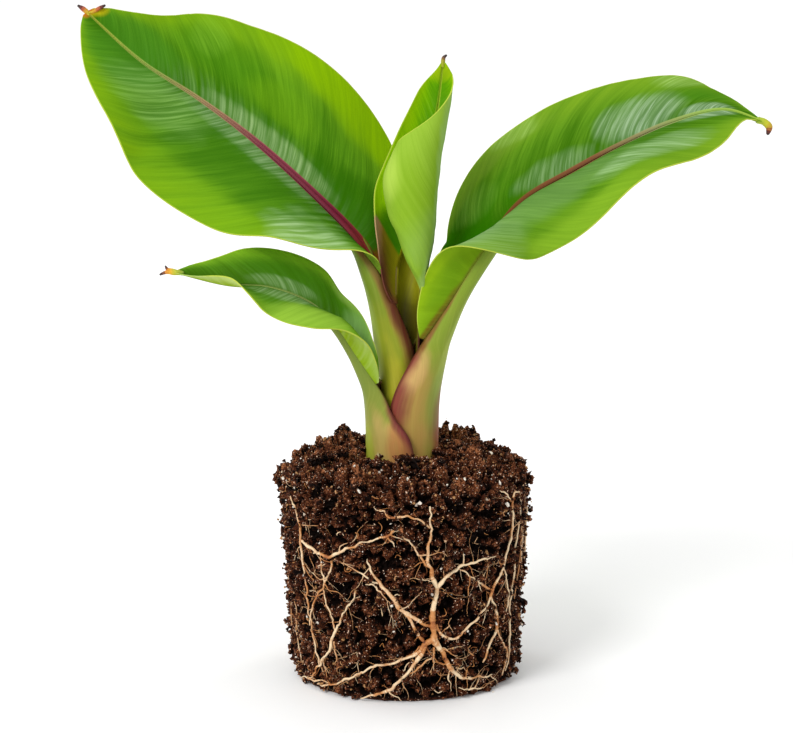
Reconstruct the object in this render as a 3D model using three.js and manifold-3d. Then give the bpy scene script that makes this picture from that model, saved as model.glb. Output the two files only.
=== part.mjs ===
// Young red banana plant: four leaves in nested sheaths, standing on a bare root ball.
// Millimetres, +Z up. The origin is the centre of the flat underside of the root ball.
// -Y is the side that faces the viewer of the photo.
import * as THREE from 'three';
import Module from 'manifold-3d';

const wasm = await Module();
wasm.setup();

// Root ball: a plug from a 10 cm nursery pot
const BALL = { baseRadius: 46.5, rimRadius: 51.2, rimHeight: 85, lump: 0.7 };
const BALL_SEGMENTS = 48;
// Radius and height of each ring, from the rounded lower edge over the rim to the stem
const BALL_RINGS = [
  [44.6, 0], [46.4, 1.6], [47.1, 12], [47.8, 24], [48.4, 36], [49.1, 48], [49.7, 60], [50.4, 72],
  [51, 81], [50, 86], [46, 89.2], [38, 91], [28, 92.2], [20, 92.8],
];
// The recess that the sheaths stand in
const SOCKET = { x: -1.2, radius: 15.9, floor: 88 };
const GAP = 0.3;
// How finely each kind of surface is divided, along it and across it
const GRID = { sheath: [12, 10], midrib: [18, 6], blade: [20, 6], root: [1, 5], horn: [2, 6] };
const SHEATH_BASE = SOCKET.floor + GAP;

// Each leaf:
//   toward   a direction that the upper face looks to
//   collar   the same for its sheath, down in the stem
//   sheath   keel x y z, radius, how far the wall runs to the left and right of the keel in degrees
//   rib      centre x y z, turn of the upper face in degrees, radius, run of the wall in degrees
//   left, right   width of that half of the blade, its slope at the rib and at the margin, sweep to the tip
const LEAVES = {
  upper_left: {
    toward: [0.25, -1, 0.25],
    collar: [0.85, 0.5, 0],
    thickness: 1.7,
    sheath: [
      [-7.3, -4, SHEATH_BASE, 8.6, 145, 110],
      [-7.4, -4, 104, 8.6, 145, 105],
      [-9.1, -3.6, 121, 8.5, 145, 95],
      [-12.2, -1.6, 139, 8.1, 146, 90],
      [-14.6, 0.5, 154.5, 6.2, 142, 115],
    ],
    rib: [
      [-12.9, 2, 168.3, 75, 4.8, 138],
      [-21.2, 8, 183.9, 27, 3.4, 132],
      [-40.9, 17, 203.4, 13, 2.4, 126],
      [-63.5, 25, 222.9, 2, 1.9, 122],
      [-86.7, 32, 239.2, 5, 1.5, 120],
      [-110.7, 37, 254.1, 13, 1.1, 118],
      [-132.9, 41, 271.4, -1, 0.7, 112],
    ],
    left: [
      [0.8, 60, 52, 9], [15.8, 46, -4, -11], [35, 31, 10, -13], [43, 19, 1, -16],
      [43.3, 15, 2, 0], [31.8, 20, 11, 0], [1.5, 2, -10, 6],
    ],
    right: [
      [0.6, 90, 35, 45], [30.3, 33, -47, 9], [43.5, 8, -27, -14], [43.6, 12, -14, 0],
      [37.6, 8, -16, 4], [26.3, 5, -17, 3], [1.5, 3, -8, 3],
    ],
    horns: [
      [[-134, 41.2, 273.4, 1.3], [-135.2, 41.8, 275.5, 1.2], [-136.6, 42, 277.4, 0.5]],
      [[-133.6, 41.2, 273.8, 1.2], [-130, 41.8, 275.7, 1.1], [-126.3, 42, 277.3, 0.5]],
    ],
  },
  rolled: {
    toward: [-0.15, -1, 0],
    collar: [0.2, -1, 0],
    thickness: 1.1,
    sheath: [
      [-0.6, 6.1, SHEATH_BASE, 5.2, 160, 160],
      [-0.7, 6.3, 112, 5.4, 155, 155],
      [-1.1, 8, 136, 6, 135, 135],
    ],
    rib: [
      [0.3, 4, 156.8, 26, 6.5, 120],
      [2.8, 8, 174.3, -19, 6.2, 116],
      [6.2, 10, 190.9, -29, 4, 115],
      [9.4, 10.5, 208.5, -38, 2.3, 115],
      [11.9, 9, 226.3, -35, 1.6, 115],
      [14.1, 7, 243.2, -21, 1.1, 115],
      [15.5, 4, 258.4, 5, 0.6, 110],
    ],
    left: [
      [0.7, 92, 95, 0], [10.6, 32, 94, 2], [16.3, -1, 92, -2], [21.9, -26, 72, -13],
      [19.4, -32, 43, -15], [11.9, -23, 14, -15], [0.8, -4, -9, 0],
    ],
    right: [
      [0.7, 93, 128, -40], [28.6, 2, 248, -41], [45.2, 0, 269, -4], [50, 0, 251, -1],
      [32.9, -1, 206, -9], [14.8, 2, 117, 9], [0.7, 4, 39, 9],
    ],
    horns: [
      [[15.6, 3.9, 259.4, 1], [15.2, 3.8, 261, 0.9], [14.6, 3.8, 262.2, 0.4]],
    ],
  },
  right: {
    toward: [-0.35, -0.33, 0.87],
    collar: [-1, 0, 0],
    thickness: 1.8,
    sheath: [
      [14, 0, SHEATH_BASE, 12.4, 110, 126],
      [14, 0, 102, 12.4, 112, 128],
      [14.1, 0, 114, 12.5, 108, 133],
      [15, 0.4, 124, 12.3, 108, 124],
      [16.4, 1.4, 132.5, 10.2, 112, 126],
    ],
    rib: [
      [11.6, 1, 142.2, -6, 7, 146],
      [22.8, 0, 162.4, -9, 4, 138],
      [35.4, -1, 182, -28, 3.2, 130],
      [49, 3, 199.7, -14, 2.4, 125],
      [69, 8, 211.4, -2, 1.9, 122],
      [89, 13, 221.6, -3, 1.6, 120],
      [110.7, 17, 231, 0, 1.2, 118],
      [131.6, 20, 235.8, -6, 0.9, 115],
      [148.4, 21, 231.1, -17, 0.7, 110],
    ],
    left: [
      [1.2, 81, 77, 0], [11, 69, 52, -9], [28.4, 47, 0, -25], [37.3, 34, -2, -24],
      [39.3, 29, 3, -16], [38.5, 25, 6, 5], [32.4, 13, -5, 28], [19, 5, -10, 12], [1.4, 1, -8, -1],
    ],
    right: [
      [4.5, 98, 103, 42], [14.4, 92, 109, 51], [21.5, 76, -38, -9], [31.8, 20, -100, -45],
      [36.5, 11, -54, -30], [37.7, 17, -11, -7], [33.1, 8, -14, 8], [19.9, 9, 4, 11], [1.2, 20, 31, -9],
    ],
    horns: [
      [[149.6, 21, 230.7, 1.5], [151.3, 21, 229, 1.4], [150.9, 20.4, 226.4, 0.6]],
    ],
  },
  lower_left: {
    toward: [0.35, -0.33, 0.87],
    collar: [1, 0, 0],
    thickness: 1.05,
    sheath: [
      [-16.4, 0, SHEATH_BASE, 15.2, 110, 100],
      [-16.4, 0, 100, 15.2, 108, 100],
      [-16.5, -0.8, 109.5, 14.2, 102, 104],
      [-17, -3.2, 117.5, 9.3, 101, 112],
    ],
    rib: [
      [-14.5, -7, 126, 3, 4, 140],
      [-21.5, -10, 139.3, -4, 2.5, 135],
      [-30.1, -12, 152.2, 11, 1.8, 128],
      [-40.8, -13, 161.9, 1, 1.4, 122],
      [-56.3, -14, 168, -8, 1.1, 120],
      [-73.9, -15, 169.7, -15, 0.8, 118],
      [-93.8, -16, 174.7, 3, 0.6, 110],
    ],
    left: [
      [1.7, 93, 91, 3], [8, 93, 66, 4], [13.1, 90, -41, -20], [15.6, 21, -37, -21],
      [12, -2, -44, -7], [6.6, 68, 96, 6], [1.8, 14, 26, 2],
    ],
    right: [
      [1.1, 78, 76, 5], [7.2, 67, 45, 20], [14.3, 39, 5, 12], [18.5, 29, 8, 2],
      [18.1, 19, 4, 7], [12.7, 18, 6, 1], [1.7, 10, 10, 0],
    ],
    horns: [
      [[-94.9, -16, 174.9, 1.1], [-97.6, -16, 175, 1], [-100.4, -16, 173.9, 0.4]],
      [[-95.2, -16, 175.1, 1], [-97.4, -16, 176.2, 0.8], [-98.7, -16, 177.6, 0.4]],
    ],
  },
};
// From the inside of the stem to the outside
const NESTING = ['rolled', 'upper_left', 'right', 'lower_left'];

// Roots on the side of the ball: radius, then angle from -Y in degrees and height at each point.
// The roots of one entry are grown together.
const FRONT_ROOTS = {
  front: [
    [1.1, [10, 83], [12, 76], [10, 66], [13, 54], [14, 41], [12, 29]],
    [0.8, [14, 51], [18, 56], [26, 59], [36, 60], [49, 60]],
    [1, [-18, 62], [-12, 54], [-5, 46], [3, 35], [12, 28]],
    [0.9, [12, 29], [4, 22], [-8, 17], [-24, 13]],
    [0.8, [12, 28], [4, 14], [-6, 7], [-22, 3.5]],
    [0.9, [12, 29], [19, 19], [25, 12], [37, 8], [49, 8]],
    [1, [48, 82], [58, 75], [59, 61], [52, 50], [43, 37], [28, 28], [12, 28]],
    [0.7, [45, 41], [50, 31], [58, 19], [59, 6]],
  ],
  left: [
    [1, [-64, 81], [-58, 70], [-57, 55], [-54, 40], [-52, 24], [-50, 9]],
    [0.8, [-58, 63], [-46, 61], [-36, 61], [-25, 66], [-14, 72], [-5, 74]],
    [0.7, [-37, 60], [-40, 50], [-45, 43], [-50, 34]],
    [0.8, [-21, 49], [-29, 40], [-34, 31], [-40, 20], [-47, 12], [-57, 4]],
    [0.6, [-38, 40], [-36, 30], [-33, 21], [-31, 13]],
  ],
  right: [
    [0.8, [68, 75], [67, 63], [63, 50], [63, 36], [68, 24]],
  ],
};
// The sides and back are not seen: these run down at equal steps with a seeded wander
const HIDDEN_ROOTS = { count: 9, from: 88, to: 276, steps: 6, wander: 6, branch: 3.6, radius: 0.9 };

const COLOURS = {
  blade: 0x4f941c, rib: 0x9a7a4a, sheath: 0xa7ab4c, tip: 0x8a4a1c, root: 0xc9a878, ball: 0x33211a,
};
const material = (name, roughness) => new THREE.MeshStandardMaterial({ color: COLOURS[name], roughness, metalness: 0 });

const radians = THREE.MathUtils.degToRad;
const { lerp } = THREE.MathUtils;
const span = (n) => Array.from({ length: n + 1 }, (_, i) => i / n);
const vector = ([x, y, z]) => new THREE.Vector3(x, y, z);

// A smooth curve through equally spaced rows of numbers
function along(rows, t) {
  const last = rows.length - 1;
  const i = Math.min(Math.floor(t * last), last - 1);
  const f = t * last - i;
  return rows[0].map((_, k) => {
    const b = rows[i][k];
    const c = rows[i + 1][k];
    const a = i > 0 ? rows[i - 1][k] : 2 * b - c;
    const d = i < last - 1 ? rows[i + 2][k] : 2 * c - b;
    const bend = (2 * a - 5 * b + 4 * c - d) * f * f + (3 * b - a - 3 * c + d) * f ** 3;
    return (2 * b + (c - a) * f + bend) / 2;
  });
}

// Centre, heading, upper face and side at t on a centre line; facing(t) is where the upper face looks
function frameAt(rows, facing, turn, t) {
  const step = 1e-3;
  const centre = vector(along(rows, t));
  const ahead = vector(along(rows, Math.min(t + step, 1)));
  const heading = ahead.sub(vector(along(rows, Math.max(t - step, 0)))).normalize();
  const up = facing(t);
  up.addScaledVector(heading, -up.dot(heading)).normalize().applyAxisAngle(heading, radians(turn(t)));
  return { centre, heading, up, side: heading.clone().cross(up) };
}
const ribFrame = (leaf, t) => frameAt(leaf.rib, () => vector(leaf.toward), (s) => along(leaf.rib, s)[3], t);

// A closed solid from points and triangles, turned the right way out
function closed(points, triangles) {
  const volume = triangles.reduce((sum, [a, b, c]) =>
    sum + points[a].dot(points[b].clone().cross(points[c])), 0);
  const geometry = new THREE.BufferGeometry();
  geometry.setAttribute('position', new THREE.Float32BufferAttribute(points.flatMap((p) => p.toArray()), 3));
  geometry.setIndex(triangles.flatMap(([a, b, c]) => (volume > 0 ? [a, b, c] : [a, c, b])));
  return geometry;
}

// The solid between two faces, each a grid of points with the same number of rows and columns
function slab(front, back) {
  const rows = front.length;
  const columns = front[0].length;
  const at = (face, i, j) => (face * rows + i) * columns + j;
  const quad = (a, b, c, d) => [[a, b, c], [a, c, d]];
  const triangles = [];
  for (let i = 1; i < rows; i += 1) {
    for (let j = 1; j < columns; j += 1) {
      triangles.push(...quad(at(0, i - 1, j - 1), at(0, i - 1, j), at(0, i, j), at(0, i, j - 1)));
      triangles.push(...quad(at(1, i - 1, j - 1), at(1, i, j - 1), at(1, i, j), at(1, i - 1, j)));
    }
    for (const [j, flip] of [[0, false], [columns - 1, true]]) {
      const edge = [at(0, i - 1, j), at(0, i, j), at(1, i, j), at(1, i - 1, j)];
      triangles.push(...quad(...(flip ? edge.reverse() : edge)));
    }
  }
  for (let j = 1; j < columns; j += 1) {
    for (const [i, flip] of [[0, true], [rows - 1, false]]) {
      const edge = [at(0, i, j - 1), at(0, i, j), at(1, i, j), at(1, i, j - 1)];
      triangles.push(...quad(...(flip ? edge.reverse() : edge)));
    }
  }
  return closed([...front.flat(), ...back.flat()], triangles);
}

// Rings of points joined one to the next, closed by a point at each end
function lathe(rings, first, last) {
  const n = rings[0].length;
  const points = [first, ...rings.flat(), last];
  const triangles = [];
  for (let j = 0; j < n; j += 1) {
    const k = (j + 1) % n;
    triangles.push([0, 1 + k, 1 + j]);
    for (let i = 1; i < rings.length; i += 1) {
      const low = 1 + (i - 1) * n;
      triangles.push([low + j, low + k, low + n + k], [low + j, low + n + k, low + n + j]);
    }
    const top = 1 + (rings.length - 1) * n;
    triangles.push([top + j, top + k, points.length - 1]);
  }
  return closed(points, triangles);
}

// A round limb through centres with radii, its ends drawn in to a blunt point
function limb(centres, radii, [parts, sides]) {
  const curve = new THREE.CatmullRomCurve3(centres);
  const steps = (centres.length - 1) * parts;
  const frames = curve.computeFrenetFrames(steps, false);
  const rings = span(steps).map((t, i) => {
    const radius = along(radii.map((r) => [r]), t)[0];
    return span(sides).slice(1).map((s) => curve.getPoint(t)
      .addScaledVector(frames.normals[i], radius * Math.cos(2 * Math.PI * s))
      .addScaledVector(frames.binormals[i], radius * Math.sin(2 * Math.PI * s)));
  });
  const beyond = (i, way) => curve.getPoint(i / steps).addScaledVector(frames.tangents[i], way * radii[0] / 2);
  return lathe(rings, beyond(0, -1), beyond(steps, 1));
}

function toManifold(geometry) {
  const vertProperties = Float32Array.from(geometry.getAttribute('position').array);
  const triVerts = Uint32Array.from(geometry.getIndex().array);
  return new wasm.Manifold(new wasm.Mesh({ numProp: 3, vertProperties, triVerts }));
}
function fromManifold(solid) {
  const { vertProperties, triVerts, numProp } = solid.getMesh();
  const points = new THREE.BufferAttribute(vertProperties, numProp);
  const geometry = new THREE.BufferGeometry();
  geometry.setAttribute('position', points);
  geometry.setIndex(new THREE.BufferAttribute(triVerts, 1));
  return geometry;
}
const join = (parts) => parts.map(toManifold).reduce((a, b) => a.add(b));

// A cut can leave a sliver beside the piece that is meant
function largest(solid) {
  return solid.decompose().sort((a, b) => b.volume() - a.volume())[0];
}

// A line of frames made longer at both ends
function longer(frames, by) {
  frames[0].centre.addScaledVector(frames[0].heading, -by);
  frames.at(-1).centre.addScaledVector(frames.at(-1).heading, by);
  return frames;
}

// A channel along a centre line: an arc wall about each centre, open on its upper side.
// grown thickens it on every side, to be cut away from its neighbours.
function channel(frames, sections, across, grown) {
  const columns = span(across);
  longer(frames, grown);
  const arc = (inside) => frames.map(({ centre, up, side }, i) => {
    const { radius, wall, left, right } = sections[i];
    const r = inside ? Math.max(radius - wall - grown, 0.1 * radius) : radius + grown;
    const spread = (360 * grown) / (2 * Math.PI * radius);
    return columns.map((u) => {
      const angle = radians(lerp(-left - spread, right + spread, u));
      return centre.clone().addScaledVector(side, r * Math.sin(angle)).addScaledVector(up, -r * Math.cos(angle));
    });
  });
  return slab(arc(false), arc(true));
}
const wallOf = (radius) => Math.min(2.3, 0.4 + 0.45 * radius, 0.8 * radius);

function sheathOf(leaf, grown = 0) {
  const [, , , , radius, run] = leaf.rib[0];
  const { centre, up } = ribFrame(leaf, 0);
  const rows = [...leaf.sheath, [...centre.addScaledVector(up, -radius).toArray(), radius, run, run]];
  const low = vector(leaf.collar);
  const [steps, across] = GRID.sheath;
  const ts = span(steps);
  const sections = ts.map((t) => {
    const [, , , r, left, right] = along(rows, t);
    return { radius: r, left, right, wall: wallOf(r) };
  });
  const frames = ts.map((t, i) => {
    const frame = frameAt(rows, (q) => low.clone().lerp(up, q * q), () => 0, t);
    frame.centre.addScaledVector(frame.up, sections[i].radius);
    return frame;
  });
  return channel(frames, sections, across, grown);
}

function midribOf(leaf, grown = 0) {
  const [steps, across] = GRID.midrib;
  const ts = span(steps);
  const frames = ts.map((t) => ribFrame(leaf, t));
  const sections = ts.map((t) => {
    const [, , , , radius, run] = along(leaf.rib, t);
    return { radius, left: run, right: run, wall: wallOf(radius) };
  });
  return channel(frames, sections, across, grown);
}

// One half of a blade: an even sheet that leaves the rim of the rib and bends across its width
function bladeHalf(leaf, rows, hand, grown = 0) {
  const [steps, across] = GRID.blade;
  const frames = longer(span(steps).map((t) => ribFrame(leaf, t)), grown);
  const middle = frames.map(({ centre, heading, up, side }, i) => {
    const t = i / steps;
    const [, , , , radius, run] = along(leaf.rib, t);
    const [width, slopeIn, slopeOut, sweep] = along(rows, t);
    const reach = radius + GAP + leaf.thickness / 2;
    const away = side.multiplyScalar(hand);
    const start = centre.addScaledVector(away, reach * Math.sin(radians(run)))
      .addScaledVector(up, -reach * Math.cos(radians(run)));
    const out = away.clone().multiplyScalar(Math.cos(radians(sweep)))
      .addScaledVector(heading, Math.sin(radians(sweep)));
    const row = [start];
    for (let k = 1; k <= across; k += 1) {
      const point = row[k - 1].clone();
      for (const m of [1 / 8, 3 / 8, 5 / 8, 7 / 8]) {
        const slope = radians(lerp(slopeIn, slopeOut, (k - 1 + m) / across));
        const step = width / (4 * across);
        point.addScaledVector(out, step * Math.cos(slope)).addScaledVector(up, step * Math.sin(slope));
      }
      row.push(point);
    }
    return row;
  });
  const face = (way) => middle.map((row, i) => row.map((point, j) => {
    const before = middle[Math.max(i - 1, 0)][j];
    const after = middle[Math.min(i + 1, middle.length - 1)][j];
    const outward = row[Math.min(j + 1, row.length - 1)].clone().sub(row[Math.max(j - 1, 0)]).normalize();
    const normal = after.clone().sub(before).cross(outward).normalize();
    const edge = Number(j === row.length - 1) - Number(j === 0);
    return point.clone().addScaledVector(normal, way * (leaf.thickness / 2 + grown))
      .addScaledVector(outward, edge * grown);
  }));
  return slab(face(1), face(-1));
}

function hornsOf(leaf) {
  return join(leaf.horns.map((rows) => limb(rows.map(vector), rows.map((row) => row[3]), GRID.horn)));
}

// Gentle lumps on the side of the ball, in millimetres
function lump(angle, z) {
  const waves = [[3, 0.09, 0.4], [7, -0.13, 1.9], [11, 0.21, 4.1]];
  return waves.reduce((sum, [turns, rise, phase]) =>
    sum + (BALL.lump * Math.sin(turns * angle + rise * z + phase)) / waves.length, 0);
}
function onBall(angle, z, out) {
  const radius = lerp(BALL.baseRadius, BALL.rimRadius, z / BALL.rimHeight) + lump(angle, z) + out;
  return new THREE.Vector3(radius * Math.sin(angle), -radius * Math.cos(angle), z);
}

function ball() {
  const rings = BALL_RINGS.map(([radius, z]) => span(BALL_SEGMENTS).slice(1).map((s) => {
    const angle = 2 * Math.PI * s;
    const rough = z > BALL.rimHeight ? 1.4 * lump(2 * angle, 5 * radius) : 0;
    const r = radius + lump(angle, z);
    return new THREE.Vector3(r * Math.sin(angle), -r * Math.cos(angle), z + rough);
  }));
  const [, top] = BALL_RINGS.at(-1);
  const body = lathe(rings, new THREE.Vector3(), new THREE.Vector3(0, 0, top));
  const socket = new THREE.CylinderGeometry(SOCKET.radius, SOCKET.radius, 20, 48).rotateX(Math.PI / 2);
  socket.translate(SOCKET.x, 0, SOCKET.floor + 10);
  return toManifold(body).subtract(weld(socket));
}
function weld(geometry) {
  const { position } = geometry.attributes;
  const seen = new Map();
  const points = [];
  const names = Array.from({ length: position.count }, (_, i) => {
    const point = new THREE.Vector3().fromBufferAttribute(position, i);
    const key = point.toArray().map((v) => v.toFixed(4)).join();
    if (!seen.has(key)) seen.set(key, points.push(point) - 1);
    return seen.get(key);
  });
  const index = Array.from(geometry.index.array, (i) => names[i]);
  const triangles = [];
  for (let i = 0; i < index.length; i += 3) triangles.push(index.slice(i, i + 3));
  return toManifold(closed(points, triangles));
}

function rootOf([radius, ...stops]) {
  const centres = stops.map(([angle, z]) => onBall(radians(angle), z, radius + GAP + 0.1));
  return limb(centres, stops.map((_, i) => radius * (1 - (0.45 * i) / stops.length)), GRID.root);
}

// Mulberry32: the same wander each time
function seeded(seed) {
  let state = seed;
  return () => {
    state = (state + 0x6d2b79f5) | 0;
    let t = Math.imul(state ^ (state >>> 15), 1 | state);
    t = (t + Math.imul(t ^ (t >>> 7), 61 | t)) ^ t;
    return ((t ^ (t >>> 14)) >>> 0) / 4294967296;
  };
}
function hiddenRoot(i, random) {
  const { count, from, to, steps, wander, branch, radius } = HIDDEN_ROOTS;
  let angle = lerp(from, to, i / (count - 1));
  const stops = span(steps).map((s) => {
    angle += (random() - 0.5) * wander;
    return [angle, lerp(80, 6 + 14 * random(), s)];
  });
  const fork = stops[1 + Math.floor(3 * random())];
  const side = [1, 2, 3].map((k) => [fork[0] + branch * k, fork[1] - 5 * k]);
  return [[radius, ...stops], [radius * 0.7, fork, ...side]];
}

const plant = new THREE.Group();
function place(name, solid, look) {
  const mesh = new THREE.Mesh(fromManifold(solid), look);
  mesh.name = name;
  plant.add(mesh);
}

place('root_ball', ball(), material('ball', 0.95));
for (const [name, roots] of Object.entries(FRONT_ROOTS)) {
  place(`root_${name}`, join(roots.map(rootOf)), material('root', 0.7));
}
const random = seeded(7);
for (let i = 0; i < HIDDEN_ROOTS.count; i += 1) {
  place(`root_back_${i + 1}`, join(hiddenRoot(i, random).map(rootOf)), material('root', 0.7));
}

// Each leaf gives way to the leaves inside it, its sheath and blade to its own rib as well
const inner = [];
const clear = (solid, others) => largest(others.reduce((a, b) => a.subtract(b), solid));
for (const name of NESTING) {
  const leaf = LEAVES[name];
  const rib = toManifold(midribOf(leaf, GAP));
  const cover = toManifold(sheathOf(leaf, GAP));
  place(`leaf_${name}_sheath`, clear(toManifold(sheathOf(leaf)), [...inner, rib]), material('sheath', 0.5));
  place(`leaf_${name}_midrib`, clear(toManifold(midribOf(leaf)), inner), material('rib', 0.45));
  const halves = [['left', -1], ['right', 1]];
  for (const [half, hand] of halves) {
    const blade = toManifold(bladeHalf(leaf, leaf[half], hand));
    place(`leaf_${name}_blade_${half}`, clear(blade, [...inner, rib, cover]), material('blade', 0.4));
  }
  place(`leaf_${name}_tip`, hornsOf(leaf), material('tip', 0.6));
  inner.push(rib, cover, ...halves.map(([half, hand]) => toManifold(bladeHalf(leaf, leaf[half], hand, GAP))));
}

export default plant;
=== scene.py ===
"""Dresses the young banana plant: leaves, nested leaf sheaths, root ball, roots, stage and camera.

The tables are in millimetres, as on the drawing. Blender works in metres.
"""
import math
import bmesh
import bpy
import numpy as np
from bpy.props import FloatProperty, FloatVectorProperty, IntProperty, PointerProperty
from bpy.types import Operator, Panel, PropertyGroup
from mathutils.kdtree import KDTree
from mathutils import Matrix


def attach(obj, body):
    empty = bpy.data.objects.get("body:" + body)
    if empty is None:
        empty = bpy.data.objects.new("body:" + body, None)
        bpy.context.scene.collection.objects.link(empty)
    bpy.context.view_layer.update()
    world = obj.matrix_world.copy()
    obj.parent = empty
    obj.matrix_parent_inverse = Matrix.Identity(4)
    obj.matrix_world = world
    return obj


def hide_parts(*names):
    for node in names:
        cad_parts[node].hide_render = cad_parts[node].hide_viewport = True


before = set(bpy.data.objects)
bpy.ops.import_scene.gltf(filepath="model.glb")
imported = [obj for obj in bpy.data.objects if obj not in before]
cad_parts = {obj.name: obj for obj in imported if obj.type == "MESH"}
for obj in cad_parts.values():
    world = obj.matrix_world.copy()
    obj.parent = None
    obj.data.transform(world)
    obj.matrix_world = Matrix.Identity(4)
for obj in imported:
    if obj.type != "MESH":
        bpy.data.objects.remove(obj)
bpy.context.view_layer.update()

bl_info = {
    "name": "Young banana plant",
    "version": (1, 0, 0),
    "blender": (4, 5, 0),
    "location": "View3D > Sidebar > Plant",
    "description": "Builds the leaves, leaf sheaths, root ball and stage of a young banana plant",
    "category": "Add Mesh",
}

MM = 0.001

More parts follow.
